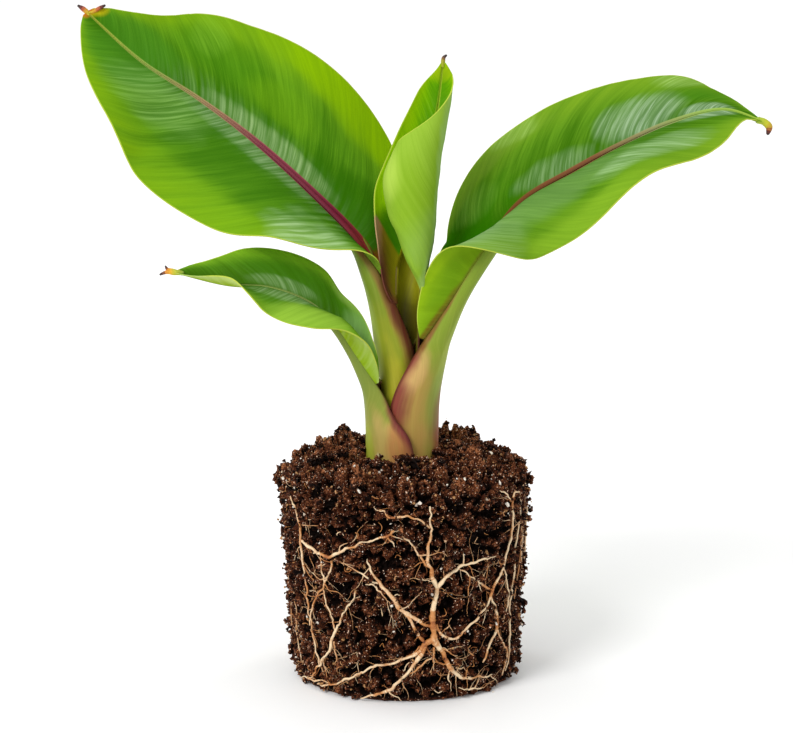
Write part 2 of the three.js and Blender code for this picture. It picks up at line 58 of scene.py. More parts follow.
# Each leaf:
#   toward, collar   where the upper face looks, on the blade and down in the stem
#   sheath           keel x y z, radius, run of the wall left and right of the keel in degrees
#   rib              centre x y z, turn of the upper face in degrees, radius, run of the wall in degrees
#   left, right      width of that half of the blade, then its slope at the rib, its slope at the margin
#                    and its sweep toward the tip in degrees
#   tips             dried ends beyond the rib: x y z and radius
#   lean             how far the side veins run toward the tip, per mm of width, at the base and the tip
#   ease             length in mm over which the blade's bends are rounded off
#   nudge            place, reach and shift where the blade gives way to its neighbour
#   taper            which halves of the blade come to a point at the base, and over what length in mm
#   point            over what length in mm a half comes to its point at the tip, if not over 5
LEAVES = {
    "upper_left": {
        "toward": (0.25, -1, 0.25), "collar": (0.85, 0.5, 0), "lean": (0.28, 1.0),
        "ease": 5, "nudge": ((-8, 8.5, 180), 8, (0, 1.5, 0)), "taper": {"left": 7},
        "point": {"left": 1, "right": 1},
        "sheath": [
            (-7.3, -4, 88.3, 8.6, 145, 110), (-7.4, -4, 104, 8.6, 145, 105), (-9.1, -3.6, 121, 8.5, 145, 95),
            (-12.2, -1.6, 139, 8.1, 146, 90), (-14.6, 0.5, 154.5, 6.2, 142, 115),
        ],
        "rib": [
            (-12.9, 2, 168.3, 75, 4.8, 138), (-21.2, 8, 183.9, 27, 3.4, 132),
            (-40.9, 17, 203.4, 13, 2.4, 126), (-63.5, 25, 222.9, 2, 1.7, 122),
            (-86.7, 32, 239.2, 5, 1.15, 120), (-110.7, 37, 254.1, 13, 0.9, 118),
            (-133.4, 41, 274.4, -1, 0.4, 112),
        ],
        "left": [
            (0.8, 60, 52, 9), (15.8, 46, -4, -11), (35, 31, 10, -13), (43, 19, 1, -16),
            (43.3, 15, 2, 0), (29.8, 20, 11, 0), (2.4, 2, -10, 10),
        ],
        "right": [
            (0.6, 90, 35, 45), (30.3, 33, -47, 9), (43.5, 8, -27, -14), (43.6, 12, -14, 0),
            (38.1, 8, -16, 4), (27.8, 5, -17, 1), (5.4, 3, -8, -26),
        ],
        "tips": [
            [(-132.6, 40.8, 273, 0.8), (-133.6, 41, 274.6, 1.2), (-135.1, 41.4, 275.8, 1.1),
             (-137.1, 41.6, 277.1, 0.5)],
            [(-133, 40.8, 274.2, 0.5), (-130.6, 41, 274.6, 0.8), (-128, 41.4, 276, 1),
             (-125.6, 41.8, 277.2, 0.5)],
        ],
    },
    "rolled": {
        "toward": (-0.15, -1, 0), "collar": (0.2, -1, 0), "lean": (0.7, 1.2), "ease": 4,
        "taper": {"left": 5}, "point": {"left": 13},
        "sheath": [
            (-0.6, 6.1, 88.3, 5.2, 160, 160), (-0.7, 6.3, 112, 5.4, 155, 155), (-1.1, 8, 136, 6, 135, 135),
        ],
        "rib": [
            (0.3, 4, 156.8, 26, 6.5, 120), (2.8, 8, 174.3, -19, 6.2, 116), (6.2, 10, 190.9, -29, 4, 115),
            (9.4, 10.5, 208.5, -38, 2.3, 115), (11.9, 9, 226.3, -35, 1.6, 115),
            (14.1, 7, 243.2, -21, 1.1, 115), (15.5, 4, 258.4, 5, 0.6, 110),
        ],
        "left": [
            (7, 25, 75, 0), (11.2, 48, 106, 2), (16.3, 2, 94, -2), (21.9, -26, 72, -13),
            (18.6, -32, 43, -15), (10.3, -23, 14, -15), (0.8, -4, -9, 0),
        ],
        "right": [
            (0.7, 93, 128, -40), (28.6, 2, 248, -41), (45.2, 0, 269, -4), (50, 0, 251, -1),
            (32.9, -1, 206, -9), (14.8, 2, 117, 9), (0.7, 4, 39, 9),
        ],
        "tips": [
            [(15.3, 4.2, 256.5, 0.7), (15.5, 3.9, 258.8, 0.9), (15.8, 3.8, 260.2, 0.85),
             (16.9, 3.8, 261.4, 0.4)],
        ],
    },
    "right": {
        "toward": (-0.35, -0.33, 0.87), "collar": (-1, 0, 0), "lean": (0.3, 1.0), "ease": 14,
        "taper": {"right": 8, "left": 26},
        "sheath": [
            (14, 0, 88.3, 12.4, 110, 126), (14, 0, 102, 12.4, 112, 128), (14.1, 0, 114, 12.5, 108, 133),
            (15, 0.4, 124, 12.3, 108, 124), (16.4, 1.4, 132.5, 10.2, 112, 126),
        ],
        "rib": [
            (11.6, 1, 142.2, -6, 7, 146), (22.8, 0, 162.4, -9, 4, 138), (35.4, -1, 182, -28, 3.2, 130),
            (49, 3, 199.7, -14, 2.4, 125), (69, 8, 211.4, -2, 1.9, 122), (89, 13, 221.6, -3, 1.6, 120),
            (110.7, 17, 231, 0, 1.2, 118), (131.6, 20, 235.8, -6, 0.9, 115),
            (148.4, 21, 231.1, -17, 0.7, 110),
        ],
        "left": [
            (1, 81, 77, 0), (8.8, 70, 48, -9), (28.6, 47, 0, -25), (37.3, 34, -2, -24), (39.3, 29, 3, -16),
            (38.5, 25, 6, 5), (32.4, 13, -5, 28), (19, 5, -10, 12), (1.4, 1, -8, -1),
        ],
        "right": [
            (4.5, 98, 103, 42), (14.4, 92, 109, 51), (21.5, 76, -38, -9), (31.8, 20, -100, -45),
            (36.5, 11, -54, -30), (37.7, 17, -11, -7), (33.1, 8, -14, 8), (19.9, 9, 4, 11), (1.2, 20, 31, -9),
        ],
        "tips": [
            [(146.6, 21, 232.2, 1.4), (149.2, 21, 230.8, 1.7), (151.4, 21, 228.9, 1.5),
             (150.9, 20.3, 226, 0.6)],
        ],
    },
    "lower_left": {
        "toward": (0.35, -0.33, 0.87), "collar": (1, 0, 0), "lean": (0.5, 1.1), "ease": 5,
        "taper": {"left": 3.5, "right": 10},
        "sheath": [
            (-16.4, 0, 88.3, 15.2, 110, 100), (-16.4, 0, 100, 15.2, 108, 100),
            (-16.5, -0.8, 109.5, 14.2, 102, 104), (-17, -3.2, 117.5, 9.3, 101, 112),
        ],
        "rib": [
            (-14.5, -7, 126, 3, 4, 140), (-21.5, -10, 139.3, -4, 2.5, 135),
            (-30.1, -12, 152.2, 11, 1.8, 128), (-40.8, -13, 161.9, 1, 1.4, 122),
            (-56.3, -14, 168, -8, 1.1, 120), (-73.9, -15, 169.7, -15, 0.8, 118),
            (-93.8, -16, 174.7, 3, 0.6, 110),
        ],
        "left": [
            (1.7, 93, 91, 3), (8, 93, 66, 4), (13.1, 90, -41, -20), (15.6, 21, -37, -21),
            (12, -2, -44, -7), (6.6, 68, 96, 6), (1.8, 14, 26, 2),
        ],
        "right": [
            (2, 78, 76, 5), (7.2, 67, 45, 20), (14.3, 39, 5, 12), (18.5, 29, 8, 2),
            (18.1, 19, 4, 7), (12.7, 18, 6, 1), (1.7, 10, 10, 0),
        ],
        "tips": [
            [(-91, -16, 174.2, 0.9), (-94.5, -16, 174.9, 1.2), (-97.8, -16, 174.8, 1),
             (-100.4, -16, 173.7, 0.45)],
            [(-92, -16, 174.5, 0.8), (-95, -16, 175.4, 1), (-97.2, -16, 176, 0.85),
             (-98.2, -16, 177.4, 0.35)],
        ],
    },
}


def tone(code):
    """A colour from its usual six-figure code, as the linear values that Blender mixes."""
    parts = [int(code[i : i + 2], 16) / 255 for i in (0, 2, 4)]
    return tuple(c / 12.92 if c <= 0.04045 else ((c + 0.055) / 1.055) ** 2.4 for c in parts)


# Colours of each leaf. Blade: deep and bright green, yellow-green near the margin (partly the blade's
# own tone, partly a painted glow of light through it), underside at the rib and at the margin. Stalk:
# outside at the soil and up the petiole, rims, channel in the sheath.
BLADE_TONES = {
    "upper_left": ("35680a", "5e921a", "7ea80e", "7aa62c", "9cc23a"),
    "rolled": ("569408", "80b804", "98c00c", "769e22", "8fb438"),
    "right": ("38680a", "5a8a1c", "7ea424", "688c12", "7ea41c"),
    "lower_left": ("3c680c", "50841a", "86b428", "8aa81c", "b4c872"),
}
STALK_TONES = {
    "upper_left": ("a4a01c", "6c8424", "6c2e24", "7c3a22"),
    "rolled": ("98983c", "7c701a", "742e28", "5c560e"),
    "right": ("a09040", "7c942a", "84382c", "62421a"),
    "lower_left": ("9c9634", "788a36", "7c3030", "7c5a34"),
}
# The rib's channel and its edges, from the leaf's base to its tip
RIB_TONES = {
    "upper_left": [
        (0, "6a3014"), (0.12, "782c20"), (0.25, "742538"), (0.48, "8c4450"), (0.64, "a08462"),
        (0.82, "8fa04c"), (1, "a8b040"),
    ],
    "rolled": [
        (0, "6c6a0c"), (0.08, "908e10"), (0.26, "86840f"), (0.4, "6c8c14"), (0.7, "98ba24"), (1, "b8cc40"),
    ],
    "right": [
        (0, "5c6a24"), (0.2, "6c5a2c"), (0.34, "6e4424"), (0.56, "7c5036"), (0.7, "8a8a5c"),
        (0.84, "8cac50"), (1, "9ab83c"),
    ],
    "lower_left": [(0, "7c7440"), (0.3, "8c9458"), (0.6, "90a458"), (1, "a4bc5c")],
}
# How far the rib's colour spreads over the edges of its channel, in mm
RIB_SPREAD = {"upper_left": 0.1, "rolled": -0.2, "right": 0.8, "lower_left": -0.35}
# How strong the painted sheen by the rib is (a pale painted reflection of the light, with some of the
# leaf's waxy bloom), and the shares of the rib between which it sets in
PAINTED_SHEEN = {
    "upper_left": (0.85, 0.05, 0.3),
    "rolled": (0.3, 0.05, 0.3),
    "right": (0.45, 0.4, 0.65),
    "lower_left": (0.35, 0.1, 0.3),
}
# The dried tips, from the leaf outward
TIP_TONES = {
    "upper_left": [
        (0, "b8b420"), (0.35, "c8981e"), (0.58, "b4562a"), (0.76, "6c2c22"), (0.9, "341814"), (1, "2a1412"),
    ],
    "rolled": [(0, "9cac1c"), (0.4, "a4a020"), (0.62, "7a5428"), (0.8, "3c2620"), (1, "2c2024")],
    "right": [(0, "9ab42c"), (0.45, "bcbc1c"), (0.7, "b8841c"), (0.84, "7a2c1c"), (1, "241412")],
    "lower_left": [
        (0, "84a02c"), (0.3, "b4b828"), (0.5, "dca41c"), (0.7, "c8761c"), (0.8, "5a2a1c"), (1, "1c1210"),
    ],
}
# Patches on the upper face of a blade: colour, strength, half of the blade (-1 left, 1 right, 0 both),
# place and reach along the rib as shares of it, place and reach across in mm, and 1 if it follows the
# veins in streaks. The pale patches named below are painted sheen, a pale painted reflection of the light.
BLADE_PATCHES = {
    "upper_left": [
        # Painted sheen: b0d098, a8c488, a8c494, 94c068. 86b204 and 7cae20 by the margins: the blade's own
        # yellow-green, partly a painted glow of light through it.
        ("2c6206", 0.75, 1, 0.2, 0.22, 9, 13, 0), ("86b204", 0.8, 1, 0.4, 0.26, 41, 13.5, 0),
        ("3f780c", 0.5, 1, 0.68, 0.16, 20, 11, 0), ("6fa014", 0.4, 1, 0.5, 0.1, 17, 9, 0),
        ("3a6e12", 0.6, -1, 0.5, 0.3, 14, 16, 0), ("7cae20", 0.3, -1, 0.5, 0.22, 38, 12, 0),
        ("44801c", 0.7, 0, 0.86, 0.14, 5, 10, 0), ("b0d098", 0.8, -1, 0.18, 0.2, 25, 19, 1),
        ("a8c488", 0.5, 1, 0.47, 0.22, 2, 5, 1), ("a8c494", 0.4, -1, 0.5, 0.22, 1.5, 5, 1),
        ("94c068", 0.5, -1, 0.74, 0.16, 11, 14, 1), ("7cb030", 0.5, 1, 0.72, 0.06, 26, 12, 1),
        ("8a4214", 0.8, 0, 0.0, 0.1, 0, 6, 0), ("a03a14", 0.6, 1, 0.05, 0.06, 1, 4, 0),
        ("c0b014", 0.9, 1, 1.0, 0.03, 3, 5, 0), ("cc6a24", 0.9, 0, 1.005, 0.02, 0, 3.5, 0),
    ],
    "rolled": [
        ("3f7c0c", 0.6, -1, 0.5, 0.25, 6, 7, 0), ("2c6404", 0.9, -1, 0.24, 0.2, 6, 12, 0),
        ("a0b414", 0.7, 0, 1.02, 0.12, 0, 12, 0),
    ],
    "right": [
        # Painted sheen: a4c094, 8cb84c, b4ccac, acd07c, a8cc70, 8fb06c, a4c490, 7aa05c, a8c894.
        ("286a00", 0.97, -1, 0.14, 0.28, 16, 32, 0), ("a4c094", 0.4, -1, 0.48, 0.1, 4, 8, 1),
        ("8cb84c", 0.4, -1, 0.34, 0.06, 20, 12, 1), ("7c9e34", 0.5, -1, 0.42, 0.16, 34, 9, 0),
        ("b4ccac", 0.6, -1, 0.69, 0.1, 9, 14, 1), ("acd07c", 0.55, -1, 0.77, 0.07, 31, 10, 1),
        ("a8cc70", 0.5, -1, 0.5, 0.05, 36, 8, 1), ("3c7814", 0.6, -1, 0.84, 0.1, 16, 9, 0),
        ("8fb06c", 0.6, 1, 0.26, 0.15, 18, 18, 1), ("a4c490", 0.4, 1, 0.18, 0.17, 10, 13, 0),
        ("7aa05c", 0.45, 1, 0.46, 0.22, 10, 13, 0), ("80aa28", 0.6, 1, 0.5, 0.16, 33, 8, 0),
        ("a8c894", 0.7, 1, 0.68, 0.13, 18, 10, 1), ("b4ccac", 0.7, 0, 0.84, 0.08, 2, 5, 1),
    ],
    "lower_left": [
        # Painted sheen: 80a860, 9cb884.
        ("356a0c", 0.6, 1, 0.5, 0.3, 7, 8, 0), ("80a860", 0.55, 1, 0.2, 0.12, 6, 8, 0),
        ("90b83c", 0.8, -1, 0.5, 0.2, 11, 7.5, 0), ("9cb884", 0.5, 0, 0.6, 0.16, 2, 3, 1),
        ("90b058", 0.65, 1, 0.27, 0.17, 15, 6, 0), ("c8b828", 0.9, 0, 1.0, 0.012, 0, 6, 0),
    ],
}
# The same on the underside
UNDERSIDE_PATCHES = {
    "upper_left": [("6a8a2c", 0.4, 0, 0.3, 0.3, 4, 10, 0), ("5c7420", 0.7, -1, 0.0, 0.14, 5, 10, 0)],
    "rolled": [
        # b4d058: a painted highlight on the rolled blade's fold.
        ("b4d058", 0.7, 1, 0.52, 0.13, 38, 9, 0), ("84a84c", 0.6, 1, 0.3, 0.14, 14, 16, 0),
        ("98b870", 0.8, 1, 0.5, 0.6, 8, 7, 0), ("7ca41c", 0.5, 1, 0.45, 0.2, 26, 10, 0),
    ],
    "right": [
        ("8cae14", 0.6, 1, 0.1, 0.1, 13, 7, 0), ("5c8814", 0.5, 1, 0.14, 0.08, 6, 6, 0),
        ("6a4a1c", 0.9, 1, 0.04, 0.12, 0, 2.6, 0),
    ],
    "lower_left": [("86a81c", 0.6, 0, 0.1, 0.16, 5, 8, 0)],
}
# Where a half blade still has the look of its stalk: the half, how far up the rib that reaches, the
# slope of its border in mm per share of the rib, and the colours inward from the margin over 10 mm
COLLARS = {
    "rolled": (
        -1, 0.345, 75,
        [(0, "b8946c"), (0.26, "a47c4c"), (0.48, "80681c"), (0.7, "76700e"), (1, "78740e")],
    ),
}
# Patches on the outside of a stalk: colour, strength, place and reach round it (-1 left rim, 0 keel,
# 1 right rim), place and reach up it (0 soil, 1 where the blade starts). b0aa2a on the upper left leaf
# and a4b650 on the right leaf are painted highlights.
STALK_PATCHES = {
    "upper_left": [
        ("b0aa2a", 0.7, -0.4, 0.2, 0.3, 0.4), ("8fa648", 0.4, -0.1, 0.2, 0.9, 0.5),
        ("8a5c30", 0.7, -0.8, 0.24, 0.75, 0.5), ("5e241c", 0.95, -1.0, 0.38, 0.78, 0.5),
        ("5f4a20", 0.5, 0.8, 0.3, 0.6, 0.5),
    ],
    "rolled": [
        ("7a3830", 0.85, -0.75, 0.4, 0.55, 0.35), ("807418", 0.7, 0.0, 1.0, 0.95, 0.2),
        ("5a4a14", 0.9, -1.0, 0.14, 1.2, 0.3), ("42261a", 0.95, 1.0, 0.4, 0.75, 0.3),
    ],
    "right": [
        ("b08848", 0.75, 0.7, 0.34, 0.3, 0.5), ("c8a066", 0.9, 0.96, 0.36, 0.72, 0.26),
        ("7c3430", 0.97, 1.0, 0.36, 0.38, 0.28), ("98503c", 0.85, 0.86, 0.22, 0.1, 0.3),
        ("8e4630", 0.9, 0.08, 0.3, 0.2, 0.5), ("a4b650", 0.55, 0.3, 0.16, 0.85, 0.4),
        ("7c3c20", 0.95, 1.0, 0.16, 0.95, 0.34), ("74903a", 0.4, 0.3, 0.2, 0.5, 0.3),
        ("e6e0c4", 0.9, 0.72, 0.05, 0.06, 0.12),
    ],
    "lower_left": [
        ("b89c5a", 0.8, -0.6, 0.3, 0.3, 0.55), ("b87c48", 0.9, -0.9, 0.32, 0.2, 0.45),
        ("742c30", 0.9, -1.02, 0.2, 0.5, 0.3), ("9ca830", 0.7, -0.16, 0.24, 0.15, 0.4),
        ("748c40", 0.5, 0.0, 0.3, 0.95, 0.4), ("e6e0c4", 0.9, -0.44, 0.05, 0.06, 0.14),
    ],
}

# The side of the root ball, a cone, and the radius and height of its whole outline from the middle of
# the underside to the middle of the top
BALL = {"base_radius": 46.5, "rim_radius": 51.2, "rim_height": 85.0}
BALL_OUTLINE = [
    (0, 0), (30, 0), (44.2, 0), (46.2, 1.4), (47.1, 12), (47.8, 24), (48.4, 36), (49.1, 48), (49.7, 60),
    (50.4, 72), (50.9, 80), (50.2, 85), (46.5, 88.8), (38, 91), (28, 92.2), (20, 92.6), (13, 92.4), (0, 92),
]
# The height above the floor from which crumbs lie on the side of the ball
LOWEST_CRUMB = 1.2
# The radius by which angles round the side of the ball turn into lengths
SIDE_RADIUS = 49
# The seeds of the soil's relief, which its body and its crumbs share, and of the roots
SOIL_SEED = 41
ROOT_SEED = 71
# How far the middle of a main root stands off the side of the ball
ROOT_PROUD = 0.7
# The length of one step along a root
ROOT_STEP = 0.6
# Roots on the front of the ball: angle from the front in degrees, height and radius at each stop
MAIN_ROOTS = [
    [(11, 85, 0.35), (12, 81, 0.4), (10, 63, 0.6), (15, 49, 1), (13, 38, 1.15), (14, 27, 1.5)],
    [(-14, 84, 0.25), (-5, 80, 0.5), (0, 81, 0.4), (6, 80, 0.4), (11, 76, 0.35)],
    [(-2, 73, 0.25), (2, 71, 0.35), (11, 59, 0.4)],
    [(15, 50, 0.85), (21, 56, 0.65), (26, 58, 0.6), (50, 60, 0.15)],
    [(28, 59, 0.35), (28, 64, 0.15)],
    [(26, 57, 0.25), (46, 45, 0.5)],
    [(37, 50, 0.25), (40, 45, 0.15)],
    [(14, 53, 0.25), (3, 55, 0.15), (1, 53, 0.15)],
    [(-18, 62, 0.2), (-15, 55, 0.6), (-5, 45, 1), (-2, 41, 0.9), (13, 33, 0.6)],
    [(0, 39, 0.6), (10, 26, 0.65)],
    [(-22, 56, 0.3), (-13, 52, 0.5)],
    [(-35, 60, 0.25), (-22, 56, 0.25)],
    [(-19, 51, 0.2), (-15, 51, 0.35), (-11, 49, 0.35), (-7, 43, 0.15)],
    [(14, 28, 1.1), (9, 26, 1.15), (7, 23, 0.7), (2, 20, 0.6), (-17, 15, 0.5), (-37, 5, 0.4), (-50, 3, 0.3)],
    [(-24, 25, 0.15), (-24, 12, 0.15)],
    [(10, 25, 0.75), (1, 13, 0.65), (-7, 6, 0.65), (-23, 1, 0.25)],
    [(14, 24, 0.5), (14, 20, 0.4), (2, 13, 0.35)],
    [(14, 20, 0.3), (13, 12, 0.15)],
    [(7, 25, 0.3), (0, 20, 0.2)],
    [(2, 18, 0.25), (-1, 14, 0.15)],
    [(-8, 5, 0.35), (-6, 2, 0.2), (-2, 1, 0.15)],
    [(14, 27, 1.4), (18, 22, 0.85), (22, 15, 0.9), (29, 9, 0.6), (50, 7, 0.2)],
    [(23, 14, 0.4), (22, 9, 0.3), (24, 4, 0.15)],
    [(17, 24, 0.4), (27, 19, 0.15)],
    [(23, 15, 0.35), (32, 12, 0.15)],
    [(11, 22, 0.15), (21, 16, 0.25)],
    [(15, 34, 0.6), (17, 30, 0.6), (21, 27, 0.55), (25, 27, 0.5), (43, 38, 0.4), (46, 45, 0.6), (53, 53, 0.5),
     (58, 64, 0.45), (60, 70, 0.5), (58, 79, 0.45), (59, 82, 0.45), (61, 84, 0.35), (67, 83, 0.2)],
    [(57, 81, 0.35), (54, 85, 0.3), (49, 87, 0.15)],
    [(26, 27, 0.2), (26, 23, 0.15)],
    [(45, 44, 0.4), (51, 33, 0.55), (51, 28, 0.55), (43, 15, 0.45), (42, 14, 0.25)],
    [(50, 29, 0.4), (63, 13, 0.4), (58, 5, 0.3)],
    [(43, 38, 0.25), (41, 30, 0.15)],
    [(68, 76, 0.35), (69, 72, 0.4), (65, 60, 0.4), (65, 46, 0.4), (62, 35, 0.4), (65, 21, 0.4),
     (64, 10, 0.35), (62, 6, 0.25)],
    [(54, 53, 0.3), (60, 42, 0.35), (60, 36, 0.4), (56, 28, 0.2)],
    [(73, 69, 0.25), (73, 56, 0.3), (69, 36, 0.2)],
    [(-67, 81, 0.3), (-63, 79, 0.4), (-58, 69, 0.6), (-58, 56, 0.5), (-56, 50, 0.4), (-55, 36, 0.35),
     (-48, 12, 0.35)],
    [(-56, 74, 0.15), (-54, 69, 0.15)],
    [(-57, 64, 0.55), (-39, 60, 0.6), (-13, 72, 0.35), (-7, 73, 0.6), (-5, 75, 0.3)],
    [(-44, 61, 0.25), (-42, 47, 0.4)],
    [(-41, 57, 0.25), (-49, 54, 0.15), (-52, 50, 0.15)],
    [(-37, 59, 0.35), (-37, 56, 0.4), (-53, 33, 0.4), (-54, 28, 0.4)],
    [(-43, 46, 0.3), (-36, 29, 0.35)],
    [(-54, 43, 0.15), (-46, 43, 0.2)],
    [(-24, 48, 0.2), (-35, 31, 0.55), (-40, 20, 0.6), (-56, 4, 0.25)],
    [(-23, 45, 0.15), (-30, 39, 0.25)],
    [(-37, 24, 0.35), (-37, 11, 0.15)],
    [(-68, 45, 0.15), (-71, 38, 0.25), (-69, 31, 0.2), (-70, 22, 0.25), (-66, 14, 0.3), (-67, 9, 0.2)],
    [(-60, 61, 0.2), (-71, 52, 0.15)],
    [(-72, 1, 0.15), (-56, 4, 0.35), (-41, 5, 0.25)],
    [(28, 5, 0.2), (35, 3, 0.35), (50, 3, 0.15)],
    [(14, 6, 0.15), (17, 4, 0.2), (20, 5, 0.15)],
    [(-5, 47, 0.25), (-2, 48, 0.15), (-2, 47, 0.15)],
    [(23, 36, 0.15), (21, 34, 0.15), (25, 29, 0.2)],
    [(-8, 72, 0.35), (-5, 68, 0.2)], [(-7, 73, 0.3), (-1, 71, 0.2)], [(-8, 73, 0.3), (-11, 68, 0.15)],
    [(-6, 74, 0.3), (-1, 77, 0.15)],
]
# Where roots join and turn orange-brown: angle, height and reach
ROOT_JOINTS = [
    (-39, 60, 5), (-6, 80, 5), (13, 34, 11), (9, 26, 9), (19, 19, 7), (-8, 73, 5), (46, 45, 6), (11, 57, 5),
    (-14, 6, 6), (-52, 9, 7), (-48, 40, 6), (58, 80, 5), (50, 30, 6), (-40, 6, 5),
]
# How far the places of the side veins jump from a blade's left half to its right half, in mm, which
# tells the two apart
HALF_SHIFT = 900.0

# The camera: its place in metres, how far it looks down in degrees, its lens and its sensor
CAMERA = {"place": (-0.0034, -1.385, 0.45), "down": 12.95, "lens": 154.7, "sensor": 36}
# What the lights are turned to, and the radius of the floor, in metres
LIT_PLACE = (0, 0, 0.16)
FLOOR_RADIUS = 9


# Smooth curves and random fields


def along(rows, t):
    """Rows of numbers read at places from 0 to 1, on a smooth curve through equally spaced rows."""
    rows = np.asarray(rows, float)
    place = np.clip(np.asarray(t, float), 0, 1) * (len(rows) - 1)
    i = np.minimum(place.astype(int), len(rows) - 2)
    f = (place - i)[:, None]
    padded = np.vstack([2 * rows[0] - rows[1], rows, 2 * rows[-1] - rows[-2]])
    a, b, c, d = (padded[i + k] for k in range(4))
    return b + 0.5 * f * (c - a + f * (2 * a - 5 * b + 4 * c - d + f * (3 * (b - c) + d - a)))


def travelled(points):
    """How far each point is along the line through them all."""
    return np.concatenate([[0], np.cumsum(np.linalg.norm(np.diff(points, axis=0), axis=1))])


def unit(vectors):
    """Vectors brought to a length of one."""
    return vectors / np.maximum(np.linalg.norm(vectors, axis=-1, keepdims=True), 1e-12)


def turned(vectors, axes, degrees):
    """Vectors turned about unit axes."""
    a = np.radians(degrees)[..., None]
    dot = np.sum(vectors * axes, -1, keepdims=True)
    return vectors * np.cos(a) + np.cross(axes, vectors) * np.sin(a) + axes * dot * (1 - np.cos(a))


def smoothed(x, low, high):
    """0 below low, 1 above high, and an even passage between."""
    f = np.clip((x - low) / (high - low), 0, 1)
    return f * f * (3 - 2 * f)


def eased(grid, reach, hold=1.0):
    """Rows of points averaged with their neighbours within a reach; the ends stay in place."""
    if reach < 1:
        return grid
    kernel = np.hanning(2 * reach + 3)[1:-1]
    kernel /= kernel.sum()
    before, after = 2 * grid[:1] - grid[reach:0:-1], 2 * grid[-1:] - grid[-2 : -reach - 2 : -1]
    padded = np.concatenate([before, grid, after])
    soft = sum(k * padded[i : i + len(grid)] for i, k in enumerate(kernel))
    return grid + (soft - grid) * hold


def distances(points, centres):
    """Distance from each point to the nearest centre, and which centre that is."""
    tree = KDTree(len(centres))
    for i, centre in enumerate(centres):
        tree.insert(centre, i)
    tree.balance()
    found = [tree.find(point) for point in points]
    return np.array([f[2] for f in found]), np.array([f[1] for f in found])


class Grain:
    """Smooth random fields in one, two or three dimensions, the same at every run."""

    PRIMES = (73856093, 19349663, 83492791)
    ROWS = 65536

    def __init__(self, seed):
        self.table = np.random.default_rng(seed).random((self.ROWS, 3))

    def corner(self, cell):
        """Three random values for each corner of a grid of unit cells."""
        index = np.zeros(cell[0].shape, np.int64)
        for c, prime in zip(cell, self.PRIMES):
            index ^= c * prime
        return self.table[index & (self.ROWS - 1)]

    def at(self, *places):
        """Values from 0 to 1 that change over about one unit."""
        places = np.broadcast_arrays(*places)
        cell = [np.floor(p).astype(np.int64) for p in places]
        part = [p - c for p, c in zip(places, cell)]
        part = [f * f * (3 - 2 * f) for f in part]
        total = np.zeros(places[0].shape)
        for bits in range(2 ** len(places)):
            near = [(bits >> k) & 1 for k in range(len(places))]
            weight = np.prod([f if n else 1 - f for f, n in zip(part, near)], axis=0)
            total += weight * self.corner([c + n for c, n in zip(cell, near)])[..., 0]
        return total

    def lumps(self, points, steep):
        """Heights of scattered round lumps about one unit apart: 1 on top, 0 in the hollows between."""
        cell = np.floor(points).astype(np.int64)
        nearest = np.full(len(points), 9.0)
        for step in np.ndindex(3, 3, 3):
            near = cell + np.array(step) - 1
            centre = near + self.corner(list(near.T))
            nearest = np.minimum(nearest, np.linalg.norm(points - centre, axis=1))
        return np.sqrt(np.clip(1 - (steep * nearest) ** 2, 0, 1))


# Meshes


def piece(name, points, faces, fields, material, nodes=(), rounded=True):
    """Add a mesh in metres from points in mm, riding on the plant's body."""
    mesh = bpy.data.meshes.new(name)
    mesh.vertices.add(len(points))
    mesh.vertices.foreach_set("co", (np.asarray(points, np.float32) * MM).ravel())
    corners = np.concatenate([np.asarray(f, np.int32).ravel() for f in faces])
    sizes = np.concatenate([np.full(len(f), f.shape[1], np.int32) for f in faces])
    mesh.loops.add(len(corners))
    mesh.loops.foreach_set("vertex_index", corners)
    mesh.polygons.add(len(sizes))
    mesh.polygons.foreach_set("loop_start", np.concatenate([[0], np.cumsum(sizes)[:-1]]).astype(np.int32))
    mesh.update(calc_edges=True)
    mesh.validate()
    for key, values in fields.items():
        values = np.asarray(values, np.float32)
        kind, slot_name = ("FLOAT", "value") if values.ndim == 1 else ("FLOAT_VECTOR", "vector")
        mesh.attributes.new(key, kind, "POINT").data.foreach_set(slot_name, values.ravel())
    if rounded:
        mesh.shade_smooth()
    else:
        mesh.shade_flat()
    mesh.materials.append(material)
    made = bpy.data.objects.new(name, mesh)
    bpy.context.scene.collection.objects.link(made)
    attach(made, "root")
    if nodes:
        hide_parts(*nodes)


def outward(points, faces):
    """Faces turned the right way out, by the volume that they enclose."""
    volume = 0.0
    for f in faces:
        a = points[f[:, 0]]
        for k in range(1, f.shape[1] - 1):
            volume += np.einsum("ij,ij->", a, np.cross(points[f[:, k]], points[f[:, k + 1]]))
    return faces if volume > 0 else [f[:, ::-1] for f in faces]


def slab_faces(rows, columns):
    """Quads round the solid between two grids of points, the second after the first."""
    i, j = np.meshgrid(np.arange(rows - 1), np.arange(columns - 1), indexing="ij")
    low = (i * columns + j).ravel()
    front = np.stack([low, low + 1, low + columns + 1, low + columns], 1)
    back = front[:, ::-1] + rows * columns
    rim = np.concatenate([
        np.arange(columns),
        np.arange(2, rows + 1) * columns - 1,
        (rows - 1) * columns + np.arange(columns - 2, -1, -1),
        np.arange(rows - 2, 0, -1) * columns,
    ])
    after = np.roll(rim, -1)
    side = np.stack([after, rim, rim + rows * columns, after + rows * columns], 1)
    return np.concatenate([front, back, side])


def slab(front, back):
    """Points and faces of the closed solid between two grids."""
    rows, columns = front.shape[:2]
    points = np.concatenate([front.reshape(-1, 3), back.reshape(-1, 3)])
    return points, outward(points, [slab_faces(rows, columns)])


